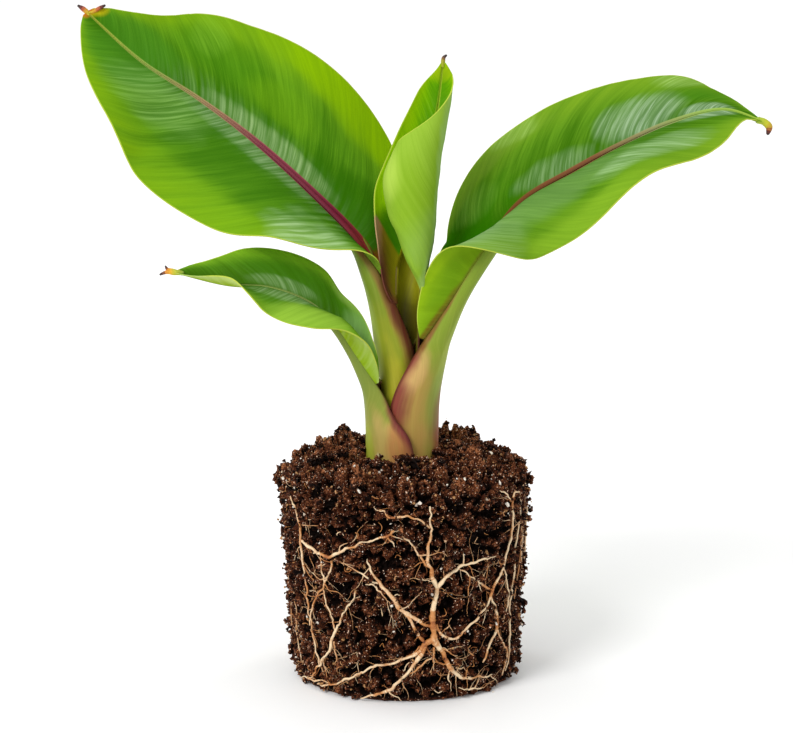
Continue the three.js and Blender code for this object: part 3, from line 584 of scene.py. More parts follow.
def ring_faces(rows, columns):
    """Faces of a solid made of rings of points in a row, with one more point at each end."""
    i, j = np.meshgrid(np.arange(rows - 1), np.arange(columns), indexing="ij")
    k = (j + 1) % columns
    this, after = i * columns, (i + 1) * columns
    quads = np.stack([this + j, this + k, after + k, after + j], -1)
    j = np.arange(columns)
    k = (j + 1) % columns
    last = (rows - 1) * columns
    start = np.stack([np.full(columns, rows * columns), k, j], 1)
    end = np.stack([np.full(columns, rows * columns + 1), last + j, last + k], 1)
    return [quads.reshape(-1, 4), np.vstack([start, end])]


def tube(path, radii, sides, lift=None):
    """Points and faces of a closed tube along a path, with blunt ends."""
    heading = unit(np.gradient(path, axis=0))
    if lift is None:
        lift = np.tile([0.31, -0.87, 0.38], (len(path), 1))
    across = unit(np.cross(heading, lift))
    up = np.cross(across, heading)
    angle = np.linspace(0, 2 * np.pi, sides, endpoint=False)
    ring = np.cos(angle)[None, :, None] * across[:, None] + np.sin(angle)[None, :, None] * up[:, None]
    points = path[:, None] + np.asarray(radii)[:, None, None] * ring
    first = path[0] - heading[0] * radii[0] * 0.6
    last = path[-1] + heading[-1] * radii[-1] * 0.6
    return np.vstack([points.reshape(-1, 3), first, last]), ring_faces(len(path), sides)


class Heap:
    """Many small closed meshes gathered into one, each point with a field of its own."""

    def __init__(self):
        self.points, self.quads, self.triangles, self.values, self.count = [], [], [], [], 0

    def add(self, points, faces, values):
        """Put in one mesh with the values of its field."""
        for f in faces:
            (self.quads if f.shape[1] == 4 else self.triangles).append(f + self.count)
        self.points.append(points)
        self.values.append(values)
        self.count += len(points)

    def make(self, name, field, material, nodes=(), rounded=True):
        """Make one piece of all that was put in."""
        points = np.concatenate(self.points)
        values = np.concatenate(self.values)
        faces = [np.concatenate(f) for f in (self.quads, self.triangles) if f]
        piece(name, points, faces, {field: values}, material, nodes, rounded)


# Materials


class Field:
    """A socket of a material's nodes that Python expressions can build on."""

    def __init__(self, tree, socket):
        self.tree = tree
        self.socket = socket

    def node(self, kind, settings=None, inputs=None, output=0):
        """Add a node: its settings first, then the values or links of its sockets."""
        made = self.tree.nodes.new("ShaderNode" + kind)
        for key, value in (settings or {}).items():
            if key == "stops":
                set_stops(made.color_ramp, value)
            else:
                setattr(made, key, value)
        for key, value in (inputs or {}).items():
            if isinstance(value, Field):
                self.tree.links.new(value.socket, made.inputs[key])
            else:
                made.inputs[key].default_value = value
        return Field(self.tree, made.outputs[output])

    @property
    def wide(self):
        """Whether this is a colour or a vector."""
        return self.socket.type != "VALUE"

    def sum_up(self, operation, first, second):
        """One step of maths on numbers, or on colours and vectors part by part."""
        wide = any(isinstance(v, Field) and v.wide or isinstance(v, tuple) for v in (first, second))
        if not wide:
            return self.node("Math", {"operation": operation}, {0: first, 1: second})
        pair = [v if isinstance(v, (Field, tuple)) else (v, v, v) for v in (first, second)]
        return self.node("VectorMath", {"operation": operation}, dict(enumerate(pair)))

    def __add__(self, other):
        return self.sum_up("ADD", self, other)

    def __radd__(self, other):
        return self.sum_up("ADD", other, self)

    def __sub__(self, other):
        return self.sum_up("SUBTRACT", self, other)

    def __rsub__(self, other):
        return self.sum_up("SUBTRACT", other, self)

    def __mul__(self, other):
        return self.sum_up("MULTIPLY", self, other)

    def __rmul__(self, other):
        return self.sum_up("MULTIPLY", other, self)

    def __pow__(self, other):
        return self.sum_up("POWER", self, other)

    def __rpow__(self, other):
        return self.sum_up("POWER", other, self)

    def parts(self):
        """The three numbers of a vector."""
        return [self.node("SeparateXYZ", {}, {0: self}, k) for k in range(3)]

    def size(self):
        """The number without its sign."""
        return self.node("Math", {"operation": "ABSOLUTE"}, {0: self})

    def smooth(self, low, high):
        """0 below low, 1 above high, and an even passage between."""
        settings = {"interpolation_type": "SMOOTHSTEP", "clamp": True}
        if low > high:
            return 1 - self.smooth(high, low)
        return self.node("MapRange", settings, {0: self, 1: low, 2: high, 3: 0.0, 4: 1.0})

    def between(self, first, second):
        """The first colour where this is 0, the second where it is 1."""
        colours = {6 + k: v if isinstance(v, Field) else (*v, 1) for k, v in enumerate((first, second))}
        return self.node("Mix", {"data_type": "RGBA", "clamp_factor": True}, {0: self, **colours}, 2)

    def noise(self, places, detail=2.0, rough=0.5):
        """Random values about 0.5 that change over one unit of the places given."""
        x, y, *rest = [*places, 0.0, 0.0][:3]
        where = self.node("CombineXYZ", {}, {0: x, 1: y, 2: rest[0]})
        settings = {"noise_dimensions": "3D" if len(places) == 3 else "2D"}
        inputs = {"Vector": where, "Scale": 1.0, "Detail": detail, "Roughness": rough}
        return self.node("TexNoise", settings, inputs)


def set_stops(ramp, stops):
    """Give a colour ramp its places and colours."""
    while len(ramp.elements) < len(stops):
        ramp.elements.new(1.0)
    for element, (place, colour) in zip(ramp.elements, stops):
        element.position = place
        element.color = (*colour, 1)


def finish(name):
    """A new material with one Principled shader: its tree to build on and the shader's node."""
    material = bpy.data.materials.new(name)
    material.use_nodes = True
    shader = material.node_tree.nodes["Principled BSDF"]
    return material, Field(material.node_tree, shader.inputs[0]), shader


def wire(field, shader, colour, rough, bump=None, height=0.1):
    """Join the worked-out colour, roughness and relief (height in mm) to the shader."""
    links = field.tree.links
    links.new(colour.socket, shader.inputs["Base Color"])
    links.new(rough.socket, shader.inputs["Roughness"])
    if bump is not None:
        normal = field.node("Bump", {}, {"Strength": 1.0, "Distance": height * MM, "Height": bump})
        links.new(normal.socket, shader.inputs["Normal"])


def read(field, name):
    """The three parts of a mesh attribute."""
    return field.node("Attribute", {"attribute_name": name}, {}, 1).parts()


def ramp(field, place, stops):
    """A colour that changes along a place from 0 to 1."""
    return field.node("ValToRGB", {"stops": [(at, tone(code)) for at, code in stops]}, {0: place})


def patched(colour, patches, reach, across, half, streak, wobble):
    """A colour with soft-edged patches of other colours laid over it."""
    for code, strength, side, place, spread, middle, width, streaky in patches:
        far = ((reach - place) * (1 / spread)) ** 2.0 + ((across - middle) * (1 / width)) ** 2.0
        cover = (far + wobble).smooth(1.15, 0.1) * strength
        if side:
            cover = cover * (half if side > 0 else 1 - half)
        if streaky:
            cover = cover * (0.3 + streak * 0.7)
        colour = cover.between(colour, tone(code))
    return colour


def blade_material(name, leaf, p):
    """Green lamina: veins run from the rib to the margin, pale painted sheen by the rib (a painted reflection
    of the light, with some of the leaf's waxy bloom), yellow margin.
    """
    material, f, shader = finish(name)
    deep, bright, edge, under, under_edge = (tone(c) for c in BLADE_TONES[leaf])
    phase, across, share = read(f, "vein")
    reach, face, rim = read(f, "spot")
    # Bands, folds, clouds and the side veins themselves
    half = phase.smooth(HALF_SHIFT / 2, HALF_SHIFT / 2 + 10)
    broad = f.noise((phase * 0.13, across * 0.025), 1.0)
    folds = f.noise((phase * 0.42, across * 0.03), 1.0)
    cloud = f.noise((phase * 0.09, across * 0.09), 2.0)
    drift = phase + (f.noise((phase * 0.16, across * 0.07), 1.0) - 0.5) * 2.4
    veins = f.noise((drift * 1.15, across * 0.07), 1.5, 0.6)
    fine = f.noise((drift * 3.2, across * 0.12), 1.0)
    streak = (veins * 0.4 + fine * 0.14 + folds * 0.46).smooth(0.38, 0.72)
    wobble = (cloud - 0.5) * 0.8
    # Upper face
    mix = broad * 0.3 + folds * 0.22 + veins * 0.3 + share * 0.42 - 0.09
    upper = mix.smooth(0.28, 0.72).between(deep, bright)
    # Toward the margin: yellow-green, partly the blade's own tone and partly a painted glow of light through
    # it
    upper = (share.smooth(0.45, 1.0) * (0.2 + broad * 0.8)).between(upper, edge)
    # Painted sheen by the rib: a pale painted reflection of the light in streaks, with some of the leaf's
    # waxy bloom
    strength, first, full = PAINTED_SHEEN[leaf]
    near = across.smooth(11.0, 0.5) * reach.smooth(first, full) * reach.smooth(0.95, 0.6)
    near = near * folds.smooth(0.3, 0.65)
    upper = (near * (0.5 + streak * 0.5) * (p.painted_sheen * strength)).between(upper, tuple(p.painted_sheen_colour))
    upper = patched(upper, BLADE_PATCHES[leaf], reach, across, half, streak, wobble)
    upper = ((1 - streak) * 0.18).between(upper, deep)
    # Underside
    lower = (share * 0.9 + broad * 0.3 - 0.1).smooth(0.1, 0.95).between(under, under_edge)
    lower = patched(lower, UNDERSIDE_PATCHES[leaf], reach, across, half, streak, wobble)
    lower = (folds.smooth(0.4, 0.7) * 0.16 + streak * 0.12).between(lower, under_edge)
    lower = (folds.smooth(0.5, 0.3) * 0.2).between(lower, under)
    colour = face.smooth(0.3, 0.7).between(lower, upper)
    # The edges of the rib's channel, the collar and the margin
    spread = RIB_SPREAD[leaf]
    channel = ramp(f, reach, RIB_TONES[leaf])
    # Painted light: the channel's colour made 1.7 times lighter toward its rims than in its groove
    channel = (across.smooth(spread - 0.7, spread) * 0.6).between(channel, channel * 1.7)
    colour = (across.smooth(spread, spread - 0.5) * (0.35 + face * 0.65)).between(colour, channel)
    margin = rim.smooth(0.55, 0.15) * 0.85
    if leaf in COLLARS:
        side, top, slope, tones = COLLARS[leaf]
        inside = ((top - reach) * slope - rim + (veins - 0.5) * 1.2).smooth(-0.9, 0.9)
        inside = inside * (half if side > 0 else 1 - half) * reach.smooth(top, top - 0.03)
        collar = ramp(f, rim * 0.1 + (cloud - 0.5) * 0.2, tones)
        # Painted shade: dark maroon over the collar's lowest part near its margin, where it lies deep in the
        # fork between the sheaths
        collar = (reach.smooth(0.25, 0.1) * rim.smooth(10.0, 2.0) * 0.9).between(collar, tone("5c2824"))
        colour = inside.between(colour, collar)
        margin = margin * (1 - inside)
    colour = margin.between(colour, tuple(p.margin_colour))
    rough = 0.48 + veins * 0.16 + (1 - face) * 0.08
    wire(f, shader, colour, rough, veins * 0.7 + fine * 0.3, p.vein_relief / MM)
    shader.inputs["Specular IOR Level"].default_value = 0.0
    return material


def stalk_material(name, leaf, p):
    """Sheath, petiole and midrib: lengthwise streaks, partly painted glossy highlights, dull red rims, a
    channel of its own colour whose walls are painted lighter than its floor.
    """
    material, f, shader = finish(name)
    base, petiole, rim, channel = (tone(c) for c in STALK_TONES[leaf])
    around, length, inside = read(f, "wall")
    level, radius, _ = read(f, "spot")
    streak = f.noise((around * radius * 1.3, length * 0.03), 2.0)
    fine = f.noise((around * radius * 4.0, length * 0.05), 1.0)
    mottle = f.noise((around * radius * 0.25, length * 0.07), 2.0)
    # Outside, with its patches and streaks, some of them painted highlights
    outer = (level * 0.9 + mottle * 0.4 - 0.2).smooth(0.0, 1.1).between(base, petiole)
    for code, strength, side, width, place, spread in STALK_PATCHES[leaf]:
        far = ((around - side) * (1 / width)) ** 2.0 + ((level - place) * (1 / spread)) ** 2.0
        outer = ((far + (mottle - 0.5) * 0.9).smooth(1.15, 0.1) * strength).between(outer, tone(code))
    # Pale lengthwise streaks: partly the stalk's own lines, partly painted glossy highlights
    outer = (streak.smooth(0.45, 0.75) * 0.08).between(outer, tone("c6c060"))
    outer = ((1 - fine.smooth(0.3, 0.6)) * 0.1).between(outer, tone("6a6a1c"))
    # Rims, dull red up to where the petiole starts
    edge = around.size() + (mottle - 0.5) * 0.25
    border = level.smooth(0.8, 1.05).between(rim, petiole)
    bound = level.smooth(0.0, 0.45) * 0.6 + 0.25 - level.smooth(0.8, 1.0) * 0.6
    outer = (edge.smooth(0.8, 1.02) * bound).between(outer, border)
    outer = (around.size().smooth(0.93, 0.99) * level.smooth(1.1, 0.9) * 0.6).between(outer, tone("481c18"))
    # Channel
    upper = level.smooth(0.9, 1.05).between(channel, ramp(f, level - 1.0, RIB_TONES[leaf]))
    # The channel's walls are painted lighter than its floor, a lit copy of its colour as painted light,
    # except in a leaf that has a collar
    painted_wall_light = 1.0 if leaf in COLLARS else 1.6
    upper = (around.size().smooth(0.15, 0.45) * level.smooth(1.05, 1.2) * 0.6).between(upper, upper * painted_wall_light)
    upper = ((1 - streak.smooth(0.3, 0.6)) * 0.12).between(upper, tone("4a2a1c"))
    colour = inside.smooth(0.3, 0.7).between(outer, upper)
    rough = 0.42 + streak * 0.2
    wire(f, shader, colour, rough, streak * 0.6 + fine * 0.4, p.streak_relief / MM)
    shader.inputs["Specular IOR Level"].default_value = 0.18
    return material


def tip_material(name, leaf):
    """Dried leaf tip, darker toward its end."""
    material, f, shader = finish(name)
    place, wrinkle, _ = read(f, "spot")
    grain = f.noise((place * 14.0, wrinkle * 3.0), 3.0)
    colour = ramp(f, place + (grain - 0.5) * 0.25, TIP_TONES[leaf])
    wire(f, shader, colour, 0.5 + grain * 0.3, grain, 0.3)
    return material


def soil_material(name, p):
    """Moist dark compost: each crumb a little lighter or darker, with a fine grit; painted shade in the
    hollows and on the undersides of crumbs, painted light on their tops, and pale flecks that are partly
    grains and partly painted glints.
    """
    material, f, shader = finish(name)
    shade, dry, lift = read(f, "crumb")
    where = f.node("TexCoord", {}, {}, 3)
    grit = f.noise((where * 1100.0).parts(), 3.0, 0.65)
    grains = f.noise((where * 2100.0 + 5.0).parts(), 1.0)
    clod = f.noise((where * 260.0 + 3.0).parts(), 1.0)
    flecks_and_glints = f.noise((where * 1250.0 + 7.0).parts(), 1.0)
    soil = shade * 0.5 + (grit - 0.5) * 2.0 + (grains - 0.5) * 1.6 + (clod - 0.5) * 0.8 + dry * 0.4
    # Painted light and shade: lighter where the soil is open to the light, darker where it is not
    soil = soil + (lift - 0.55) * 0.5 + 0.1
    colour = soil.smooth(0.0, 0.5).between(tuple(p.soil_dark), tuple(p.soil_mid))
    colour = soil.smooth(0.6, 1.25).between(colour, tuple(p.soil_light))
    # Painted shade: near black in the hollows and on the undersides of crumbs
    colour = ((lift + (grit - 0.5) * 0.7).smooth(0.95, 0.4) * 0.98).between(colour, tone("0a0200"))
    # Pale flecks on the sides open to the light: partly pale grains, partly painted glints
    colour = (flecks_and_glints.smooth(0.68, 0.71) * lift.smooth(0.4, 0.75)).between(colour, tone("fad8bc"))
    wire(f, shader, colour, 0.3 + grit * 0.6, grit * 0.6 + grains * 0.4, 1.1)
    shader.inputs["Specular IOR Level"].default_value = 0.08
    return material


def root_material(name, p):
    """Living root: cream, tan and orange-brown by turns along its length, faintly ringed, paler on its upper
    side and darker on its flanks and underside as painted light and shade.
    """
    material, f, shader = finish(name)
    age, length, turn = read(f, "root")
    patch = f.noise((length * 0.16, age * 9.0), 2.0)
    ring = f.noise((length * 1.6, turn * 0.8), 2.0)
    tan = age * 0.8 + (patch - 0.5) * 1.2 + (ring - 0.5) * 0.5
    # Painted light and shade: paler on the top of each root, darker on its flanks and underside
    tan = tan + (turn - 1.5).size().smooth(1.0, 3.4) * 0.5
    colour = tan.smooth(0.0, 0.55).between(tuple(p.young), tuple(p.middle))
    colour = tan.smooth(0.5, 1.1).between(colour, tuple(p.old))
    colour = (tan.smooth(0.9, 1.5) * 0.8).between(colour, tone("4a2410"))
    wire(f, shader, colour, 0.42 + ring * 0.25, ring, 0.25)
    return material


def speck_material(name):
    """White mineral grains and tan chips with faint pits."""
    material, f, shader = finish(name)
    shade, _, _ = read(f, "crumb")
    pit = f.noise((f.node("TexCoord", {}, {}, 3) * 2200.0).parts(), 3.0)
    pale = pit.smooth(0.3, 0.6).between(tone("b8a890"), tone("f4ece0"))
    colour = shade.smooth(0.2, 0.3).between(pale, pit.between(tone("7a4c28"), tone("d8a468")))
    wire(f, shader, colour, 0.6 + pit * 0.2, pit, 0.2)
    return material


# Leaves


def rib_frames(leaf, t):
    """Centre, heading, upper face and side along the rib."""
    rows = np.asarray(leaf["rib"], float)
    step = 1e-3
    centre = along(rows, t)[:, :3]
    heading = unit(along(rows, np.minimum(t + step, 1))[:, :3] - along(rows, np.maximum(t - step, 0))[:, :3])
    toward = np.asarray(leaf["toward"], float)
    up = unit(toward - np.sum(toward * heading, 1)[:, None] * heading)
    up = turned(up, heading, along(rows, t)[:, 3])
    return centre, heading, up, np.cross(heading, up)


def rib_length(leaf, t):
    """How far each place is along the rib, in mm."""
    return travelled(rib_frames(leaf, t)[0])


def even_rows(leaf, pitch):
    """Places along the rib in even steps of about the pitch in mm."""
    close = np.linspace(0, 1, 400)
    reached = rib_length(leaf, close)
    rows = int(reached[-1] / pitch) + 1
    return np.interp(np.linspace(0, reached[-1], rows), reached, close)


def pointed(width, length, leaf, side):
    """The width of a half blade, narrowed to a point at its tip and, where the leaf has one, its base."""
    width = width * np.sqrt(smoothed(length[-1] - length, -0.4, leaf.get("point", {}).get(side, 5)))
    if side in leaf.get("taper", {}):
        width = width * np.sqrt(smoothed(length, -2, leaf["taper"][side]))
    return width


def half_sheet(leaf, hand, t, v, width, slope_in, slope_out, sweep, pitch):
    """The middle surface of a half blade, and how far each of its points is from the rib."""
    centre, heading, up, across = rib_frames(leaf, t)
    radius, run = along(leaf["rib"], t)[:, 4:6].T
    away = hand * across
    run = np.radians(run)[:, None]
    ray = away * np.sin(run) - up * np.cos(run)
    # It starts a little off the rim of the rib's channel and bends evenly to the margin
    distance = width * v
    reach = radius[:, None] + 0.2 + 0.65 * (1 - np.exp(-distance / 1.5))
    start = centre[:, None] + ray[:, None] * reach[..., None]
    out = away * np.cos(sweep) + heading * np.sin(sweep)
    bend = (slope_out - slope_in) * v
    mid = slope_in + bend / 2
    chord = width * v * np.sinc(bend / 2 / np.pi)
    sheet = start + (chord * np.cos(mid))[..., None] * out[:, None]
    sheet = sheet + (chord * np.sin(mid))[..., None] * up[:, None]
    sheet = eased(sheet, int(leaf["ease"] / pitch), smoothed(v, 0.0, 0.35)[None, :, None])
    if "nudge" in leaf:
        place, spread, shift = leaf["nudge"]
        far = np.sum((sheet - place) ** 2, -1, keepdims=True)
        sheet = sheet + np.exp(-far / spread**2) * np.array(shift)
    # One more column inside the wall of the channel joins the blade to it
    rim_wall = np.minimum(0.55 * radius, 1.2)[:, None]
    inner = centre + ray * (radius[:, None] - rim_wall)
    return np.concatenate([inner[:, None], sheet], 1), np.concatenate([-rim_wall, distance], 1)


def half_blade(leaf, side, hand, p, grain):
    """One half of a blade: a thin closed sheet with pleats along its side veins.

    Returns points, faces and two fields. One holds the place of the side vein through each point, the
    distance from the rib and its share of the width. The other holds the place along the rib, 1 on the
    upper face, and the distance from the margin.
    """
    t = even_rows(leaf, p.grid)
    length = rib_length(leaf, t)
    width, slope_in, slope_out, sweep = along(leaf[side], t).T
    columns = max(14, int(np.max(width) / (2.2 * p.grid)))
    v = np.linspace(0, 1, columns) ** 0.9
    width = pointed(width, length, leaf, side)[:, None]
    slope_in, slope_out, sweep = (np.radians(angle)[:, None] for angle in (slope_in, slope_out, sweep))
    sheet, distance = half_sheet(leaf, hand, t, v, width, slope_in, slope_out, sweep, p.grid)
    share = np.concatenate([[0], v])[None, :] * np.ones((len(t), 1))
    normal = unit(-hand * np.cross(np.gradient(sheet, axis=0), np.gradient(sheet, axis=1)))
    normal[:, 0] = normal[:, 1]
    # Where on the rib the side vein through each point starts
    low, high = leaf["lean"]
    lean = low + (high - low) * (length / length[-1])[:, None]
    phase = length[:, None] + distance * np.sin(sweep) - distance * lean * (1 + 0.35 * share)
    phase = phase + HALF_SHIFT * (hand + 1) / 2
    # Pleats along the veins fade toward the rib and the margin, broad waves grow toward the margin
    fade = smoothed(distance, 0.5, 5) * (1 - 0.55 * share)
    pleat = grain.at(phase / 3.6, distance / 40) - 0.5
    pleat = pleat + 0.4 * (grain.at(phase / 1.5 + 50, distance / 25) - 0.5)
    wave = (grain.at(phase / 17 + 9, distance / 15) - 0.5) * smoothed(share, 0.2, 1)
    relief = p.pleat / MM * 2 * pleat * fade + p.wave / MM * 2 * wave * smoothed(width, 4, 14)
    # The sheet thins toward the margin and ends in a small bead
    thick = p.thickness / MM * (1.25 - 0.45 * share)
    bead = p.thickness / MM * 0.35 * smoothed(width - distance, 0.9, 0.2)
    thick = thick + bead * smoothed(width, 3, 8)
    front = sheet + normal * (relief + thick / 2)[..., None]
    back = sheet + normal * (relief - thick / 2)[..., None]
    points, faces = slab(front, back)
    rim = (width - distance) + (1 - smoothed(width, 2, 6))
    vein = np.stack([phase, distance, share], -1)
    spots = [np.stack([t[:, None] + 0 * share, face + 0 * share, rim], -1) for face in (1, 0)]
    spots = np.concatenate([s.reshape(-1, 3) for s in spots])
    return points, faces, np.tile(vein.reshape(-1, 3), (2, 1)), spots


def stalk_lines(leaf, pitch):
    """Keel, upper direction, radius, runs of the wall and level in even steps from soil to leaf tip.

    Returns these as rows, and how far along the keel each row is.
    """
    t = np.linspace(0, 1, 240)
    centre, _, up, _ = rib_frames(leaf, t)
    radius, run = along(leaf["rib"], t)[:, 4:6].T
    upper = np.column_stack([centre - up * radius[:, None], up, radius, run, run, 1 + t])
    rows = np.array([*leaf["sheath"], (*upper[0, :3], upper[0, 6], upper[0, 7], upper[0, 7])])
    lower = along(rows, t)
    collar = unit(np.asarray(leaf["collar"], float))
    facing = unit(collar * (1 - t**2)[:, None] + up[0] * (t**2)[:, None])
    lower = np.column_stack([lower[:, :3], facing, lower[:, 3:6], t])
    line = np.concatenate([lower[:-1], upper])
    length = travelled(line[:, :3])
    joint = length[len(lower) - 1]
    even = np.arange(0, length[-1], pitch)
    line = np.column_stack([np.interp(even, length, c) for c in line.T])
    # The passage from sheath to petiole is rounded off over 6 mm each way
    spread = int(6 / pitch)
    kernel = np.hanning(2 * spread + 3)[1:-1]
    kernel /= kernel.sum()
    padded = np.pad(line, ((spread, spread), (0, 0)), mode="edge")
    soft = np.column_stack([np.convolve(c, kernel, "valid") for c in padded.T])
    share = (smoothed(even, 0, 8) * smoothed(-(even - joint), -16, -4))[:, None]
    line = line * (1 - share) + soft * share
    return line, even


def stalk(leaf, p, grain):
    """Leaf sheath, petiole and midrib in one: a channel that narrows to the leaf's tip.

    Returns points, faces and two fields. One holds the place round the wall, the length along the keel
    and 1 inside the channel. The other holds the level, 0 at the soil and 1 where the blade starts, and
    the radius.
    """
    line, length = stalk_lines(leaf, p.grid)
    keel, up = line[:, :3], line[:, 3:6]
    radius, left, right, level = line[:, 6:10].T
    heading = unit(np.gradient(keel, axis=0))
    up = unit(up - np.sum(up * heading, 1)[:, None] * heading)
    side = np.cross(heading, up)
    u = np.linspace(-1, 1, p.columns)
    angle = np.radians(np.where(u < 0, u * left[:, None], u * right[:, None]))
    ray = np.sin(angle)[..., None] * side[:, None] - np.cos(angle)[..., None] * up[:, None]
    # The wall is thickest along the keel and thins toward its rims
    keel_wall = np.minimum(2.2, np.minimum(0.4 + 0.45 * radius, 0.78 * radius))[:, None]
    rim_wall = np.minimum(keel_wall, 0.3 + 0.28 * np.minimum(radius, 4)[:, None])
    wall = rim_wall + (keel_wall - rim_wall) * (1 - np.abs(u) ** 3)
    ribs = grain.at(angle * radius[:, None] / 1.3 + 40, length[:, None] / 60) - 0.5
    dents = grain.at(angle * radius[:, None] / 6, length[:, None] / 22 + 7) - 0.5
    size = smoothed(radius, 1.5, 8)[:, None]
    relief = p.ribbing / MM * 2 * ribs * (0.25 + 0.75 * size) + p.dents / MM * 2 * dents * size
    middle = keel + up * radius[:, None]
    outer = middle[:, None] + ray * (radius[:, None] + relief)[..., None]
    inner = middle[:, None] + ray * (radius[:, None] - wall)[..., None]
    points, faces = slab(outer, inner)
    places = np.broadcast_arrays(u[None, :], length[:, None])
    walls = [np.stack([*places, inside + 0 * places[0]], -1) for inside in (0, 1)]
    walls = np.concatenate([w.reshape(-1, 3) for w in walls])
    spot = np.stack([level[:, None] + 0 * places[0], radius[:, None] + 0 * places[0], 0 * places[0]], -1)
    return points, faces, walls, np.tile(spot.reshape(-1, 3), (2, 1))


# Root ball


def outline():
    """Radius and height at the corners of the ball's outline, and how far along it each corner is."""
    rows = np.array(BALL_OUTLINE, float)
    return rows, travelled(rows)


def outline_at(place):
    """Radius and height of the ball's outline, and the way it faces, at a distance along it in mm."""
    rows, length = outline()
    radius, height = (np.interp(place, length, c) for c in rows.T)
    after, before = (
        np.stack([np.interp(place + shift, length, c) for c in rows.T], -1) for shift in (1.5, -1.5)
    )
    ahead = unit(after - before)
    return radius, height, ahead[..., 1], -ahead[..., 0]


def ball_point(angle, place):
    """Points on the ball's smooth surface and their outward directions."""
    radius, height, out, rise = outline_at(place)
    ray = np.stack([np.sin(angle), -np.cos(angle), 0 * angle], -1)
    point = ray * radius[..., None]
    point[..., 2] = height
    normal = ray * out[..., None]
    normal[..., 2] = rise
    return point, normal


def soil_height(points, grain):
    """How far the soil stands out of the ball's smooth outline, in mm: clods, crumbs, hollows, mounds."""
    # The lumps are bent out of round and stand higher on the top than on the side
    bend = np.stack([grain.at(*(points / 2.7 + 9 * k).T) for k in (1, 2, 3)], -1) - 0.5
    bent = points + 2.2 * bend
    x, y, z = points.T
    top = smoothed(z, 84, 89)
    height = 3.7 * grain.lumps(bent / 4.6, 1.55) + 2.5 * grain.lumps(bent / 2.1 + 40, 1.4)
    height = height * (1 + 0.4 * top) - 4.1 - 1.2 * top
    height += 2.2 * (grain.at(*(points / 0.9 + 30).T) - 0.5) + 2.4 * (grain.at(*(points / 1.7 + 60).T) - 0.5)
    # On top: low heaps here and there, a ring round the stem and a heap behind it on the right
    mound = 4.5 * smoothed(grain.at(*(points / 5 + 70).T), 0.5, 0.85)
    mound += 1.2 * np.exp(-(((np.hypot(x, y) - 18) / 5) ** 2))
    mound += 5 * np.exp(-(((x - 22) / 7) ** 2) - ((y - 24) / 9) ** 2)
    return height + mound * top


def side_point(angle, z, out):
    """Points at an angle in degrees and a height on the side of the ball, out mm off it."""
    radius = BALL["base_radius"] + (BALL["rim_radius"] - BALL["base_radius"]) * z / BALL["rim_height"] + out
    a = np.radians(angle)
    return np.stack([radius * np.sin(a), -radius * np.cos(a), z], -1)


def crumb_shapes(level, count, rng):
    """Rough closed lumps about a unit across, and their faces."""
    made = bmesh.new()
    bmesh.ops.create_icosphere(made, subdivisions=level, radius=0.5)
    base = np.array([v.co[:] for v in made.verts])
    faces = np.array([[v.index for v in f.verts] for f in made.faces])
    made.free()
    shapes = []
    for k in range(count):
        grain = Grain(900 + k)
        bumps = grain.at(*(base * 3.1 + 20).T) - 0.5
        edges = grain.at(*(base * 7.5 + 40).T) - 0.5
        stretch = rng.uniform(0.65, 1.25, 3)
        shapes.append(base * (0.95 + 1.3 * bumps + 1.5 * edges)[:, None] * stretch)
    return shapes, faces


def random_turns(count, rng):
    """Evenly spread rotations, as matrices."""
    q = unit(rng.normal(size=(count, 4)))
    w, x, y, z = q.T
    return np.stack([
        1 - 2 * (y * y + z * z), 2 * (x * y - w * z), 2 * (x * z + w * y),
        2 * (x * y + w * z), 1 - 2 * (x * x + z * z), 2 * (y * z - w * x),
        2 * (x * z - w * y), 2 * (y * z + w * x), 1 - 2 * (x * x + y * y),
    ], -1).reshape(-1, 3, 3)


def ball_places(count, rng, top_share):
    """Random places on the ball: angle and distance along its outline, with a share of them on top."""
    rows, length = outline()
    rim = rows[:, 0].argmax()
    low = np.interp(LOWEST_CRUMB, rows[: rim + 1, 1], length[: rim + 1])
    # Three times as many as wanted, because some are left out below
    drawn = count * 3
    place = rng.uniform(low, length[rim], drawn)
    on_top = rng.random(drawn) < top_share
    place[on_top] = rng.uniform(length[rim], length[-1], on_top.sum())
    # Fewer where the way round the ball is shorter, and none in the stem
    widest, stem = 51, 11
    radius = outline_at(place)[0]
    keep = rng.random(drawn) < radius / widest
    keep &= ~on_top | (radius > stem)
    place = place[keep][:count]
    return rng.uniform(-math.pi, math.pi, len(place)), place


def scatter(heap, shapes, faces, centres, outs, sizes, shades, rng):
    """Add one lump at each centre; its field is its shade, how dry it is and how open to the light, which is
    less on its inner side and paints shade there.
    """
    turns = random_turns(len(centres), rng)
    picks = rng.integers(len(shapes), size=len(centres))
    for k, centre in enumerate(centres):
        points = shapes[picks[k]] @ turns[k].T * sizes[k]
        # Painted shade: the inner side of each lump is less open to the light, so darker
        lift = np.clip(0.5 + points @ outs[k] / sizes[k], 0, 1) * shades[k, 2]
        points = points + centre
        points[:, 2] = np.maximum(points[:, 2], 0.02)
        heap.add(points, [faces], np.column_stack([np.tile(shades[k, :2], (len(points), 1)), lift]))


# Roots


